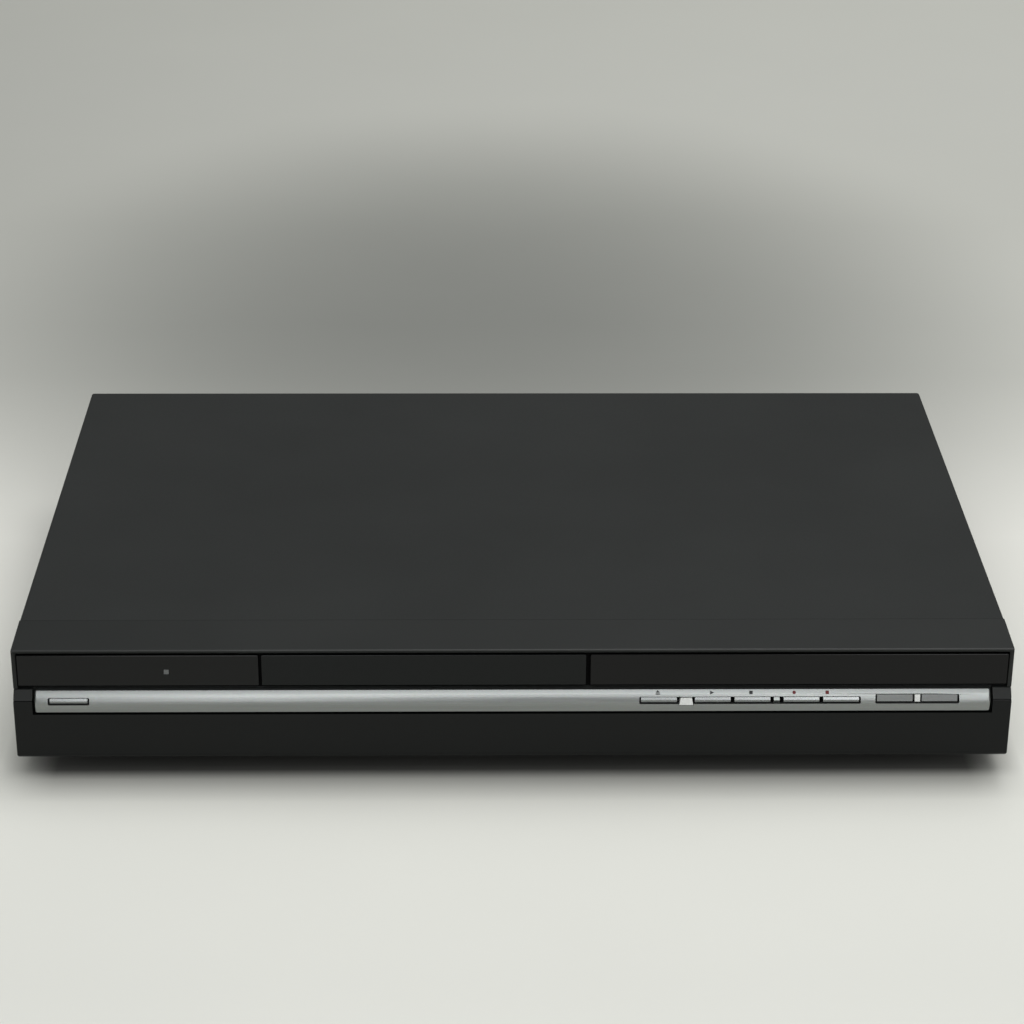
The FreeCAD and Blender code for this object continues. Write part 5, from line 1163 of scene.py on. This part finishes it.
# Name, place, aim, size and power of each lamp.
LAMPS = [
    ("front_light", (0.06, -1.0, 1.4), (0.0, -0.14, 0.05), (1.1, 0.8), 6.3),
    ("left_light", (-0.24, -1.35, 0.6), (-0.1, -0.14, 0.05), (0.26, 1.15), 3.0),
    ("right_light", (0.46, -1.35, 0.6), (0.1, -0.14, 0.05), (0.32, 1.15), 3.8),
    ("top_light", (0.34, 0.3, 1.7), (0.0, 0.05, 0.0), (1.2, 1.0), 12.0),
]


def paper_floor():
    """Pale paper: toned from front to back, shaded behind the case and with a painted shadow under
    it.
    """
    paper = Finish("paper_floor", Specular_IOR_Level=0.2, Roughness=0.7)
    x, y, _ = paper.axes()
    depth = paper.node(
        "ShaderNodeValToRGB",
        {"stops": [(place, tone(*colour)) for place, colour in FLOOR_TONES]},
        {0: paper.span(y, *FLOOR_STRETCH)},
    )
    across = x * x * SHADE_ACROSS
    back = y - SHADE_MIDDLE
    along = back * back * SHADE_ALONG
    near_end, far_end = SHADE_REACH
    dip = paper.node(
        "ShaderNodeMapRange",
        {"interpolation_type": "SMOOTHSTEP"},
        {0: across + along, 1: near_end, 2: far_end, 3: SHADE_DEPTH, 4: 0.0},
    )
    left = paper.span(x, *LEFT_REACH, LEFT_SHADE, 0.0) * paper.span(y, *LEFT_START)
    # The shadow under the case is painted into the floor's colour.
    edge = paper.span(y, UNDER_START, UNDER_FOOT, 0.0, UNDER_EDGE_DEPTH)
    more = paper.span(y, UNDER_FOOT, UNDER_FULL, 0.0, UNDER_MORE_DEPTH)
    side, side_end = UNDER_SIDES
    under_shadow = (edge + more) * paper.span(x * x, side * side, side_end * side_end, 1.0, 0.0)
    under_shadow = under_shadow * paper.span(y, *UNDER_BACK, 1.0, 0.0)
    mottle = paper.cloud(7, 3.0)
    shaded = paper.blend(dip + left + mottle * 0.04, depth, tone(*FLOOR_SHADE))
    paper.colour(under_shadow, shaded, tone(*FLOOR_UNDER_SHADOW))
    return paper.material


def studio_floor():
    mesh = bmesh.new()
    bmesh.ops.create_grid(mesh, x_segments=8, y_segments=8, size=4.0)
    data = bpy.data.meshes.new("studio_floor")
    mesh.to_mesh(data)
    mesh.free()
    data.materials.append(paper_floor())
    floor = bpy.data.objects.new("studio_floor", data)
    bpy.context.scene.collection.objects.link(floor)


def studio_sky():
    """Light from all round, weak at the horizon and full overhead."""
    world = bpy.data.worlds.new("studio_sky")
    world.use_nodes = True
    nodes = world.node_tree.nodes
    links = world.node_tree.links
    sky = nodes["Background"]
    sky.inputs["Color"].default_value = SKY_COLOUR
    direction = nodes.new("ShaderNodeTexCoord")
    lean = nodes.new("ShaderNodeVectorMath")
    lean.operation = "DOT_PRODUCT"
    lean.inputs[1].default_value = SKY_LEAN
    level = nodes.new("ShaderNodeMapRange")
    for index, value in enumerate((*SKY_SPAN, *SKY_LEVELS), 1):
        level.inputs[index].default_value = value
    links.new(direction.outputs["Generated"], lean.inputs[0])
    links.new(lean.outputs["Value"], level.inputs[0])
    links.new(level.outputs[0], sky.inputs["Strength"])
    bpy.context.scene.world = world


def studio_lamps():
    for name, place, aim, size, power in LAMPS:
        data = bpy.data.lights.new(name, "AREA")
        data.shape = "RECTANGLE"
        data.size, data.size_y = size
        data.energy = power
        lamp = bpy.data.objects.new(name, data)
        lamp.location = place
        toward = Vector(aim) - Vector(place)
        lamp.rotation_euler = toward.to_track_quat("-Z", "Y").to_euler()
        bpy.context.scene.collection.objects.link(lamp)


# The camera's place and its three directions, as fitted to the photograph's edges.
EYE = (-0.017504, -1.184742, 0.621957)
EYE_ACROSS = (0.999899, -0.013376, 0.004892)
EYE_UP = (0.001292, 0.427253, 0.904131)
EYE_BACK = (-0.014184, -0.904033, 0.427227)
LENS_LENGTH = 97.305
FILM_WIDTH = 36.0


def camera():
    data = bpy.data.cameras.new("camera")
    data.sensor_width = FILM_WIDTH
    data.lens = LENS_LENGTH
    data.clip_start = 0.01
    eye = bpy.data.objects.new("camera", data)
    turn = Matrix((EYE_ACROSS, EYE_UP, EYE_BACK)).transposed().to_4x4()
    eye.matrix_world = Matrix.Translation(EYE) @ turn
    bpy.context.scene.collection.objects.link(eye)
    bpy.context.scene.camera = eye


case_pieces()
foot_pieces()
screw_pieces()
strip_pieces()
flap_piece()
socket_pieces()
fan_pieces()
drive_pieces()
studio_floor()
studio_sky()
studio_lamps()
camera()
bpy.context.scene.view_settings.view_transform = "Standard"
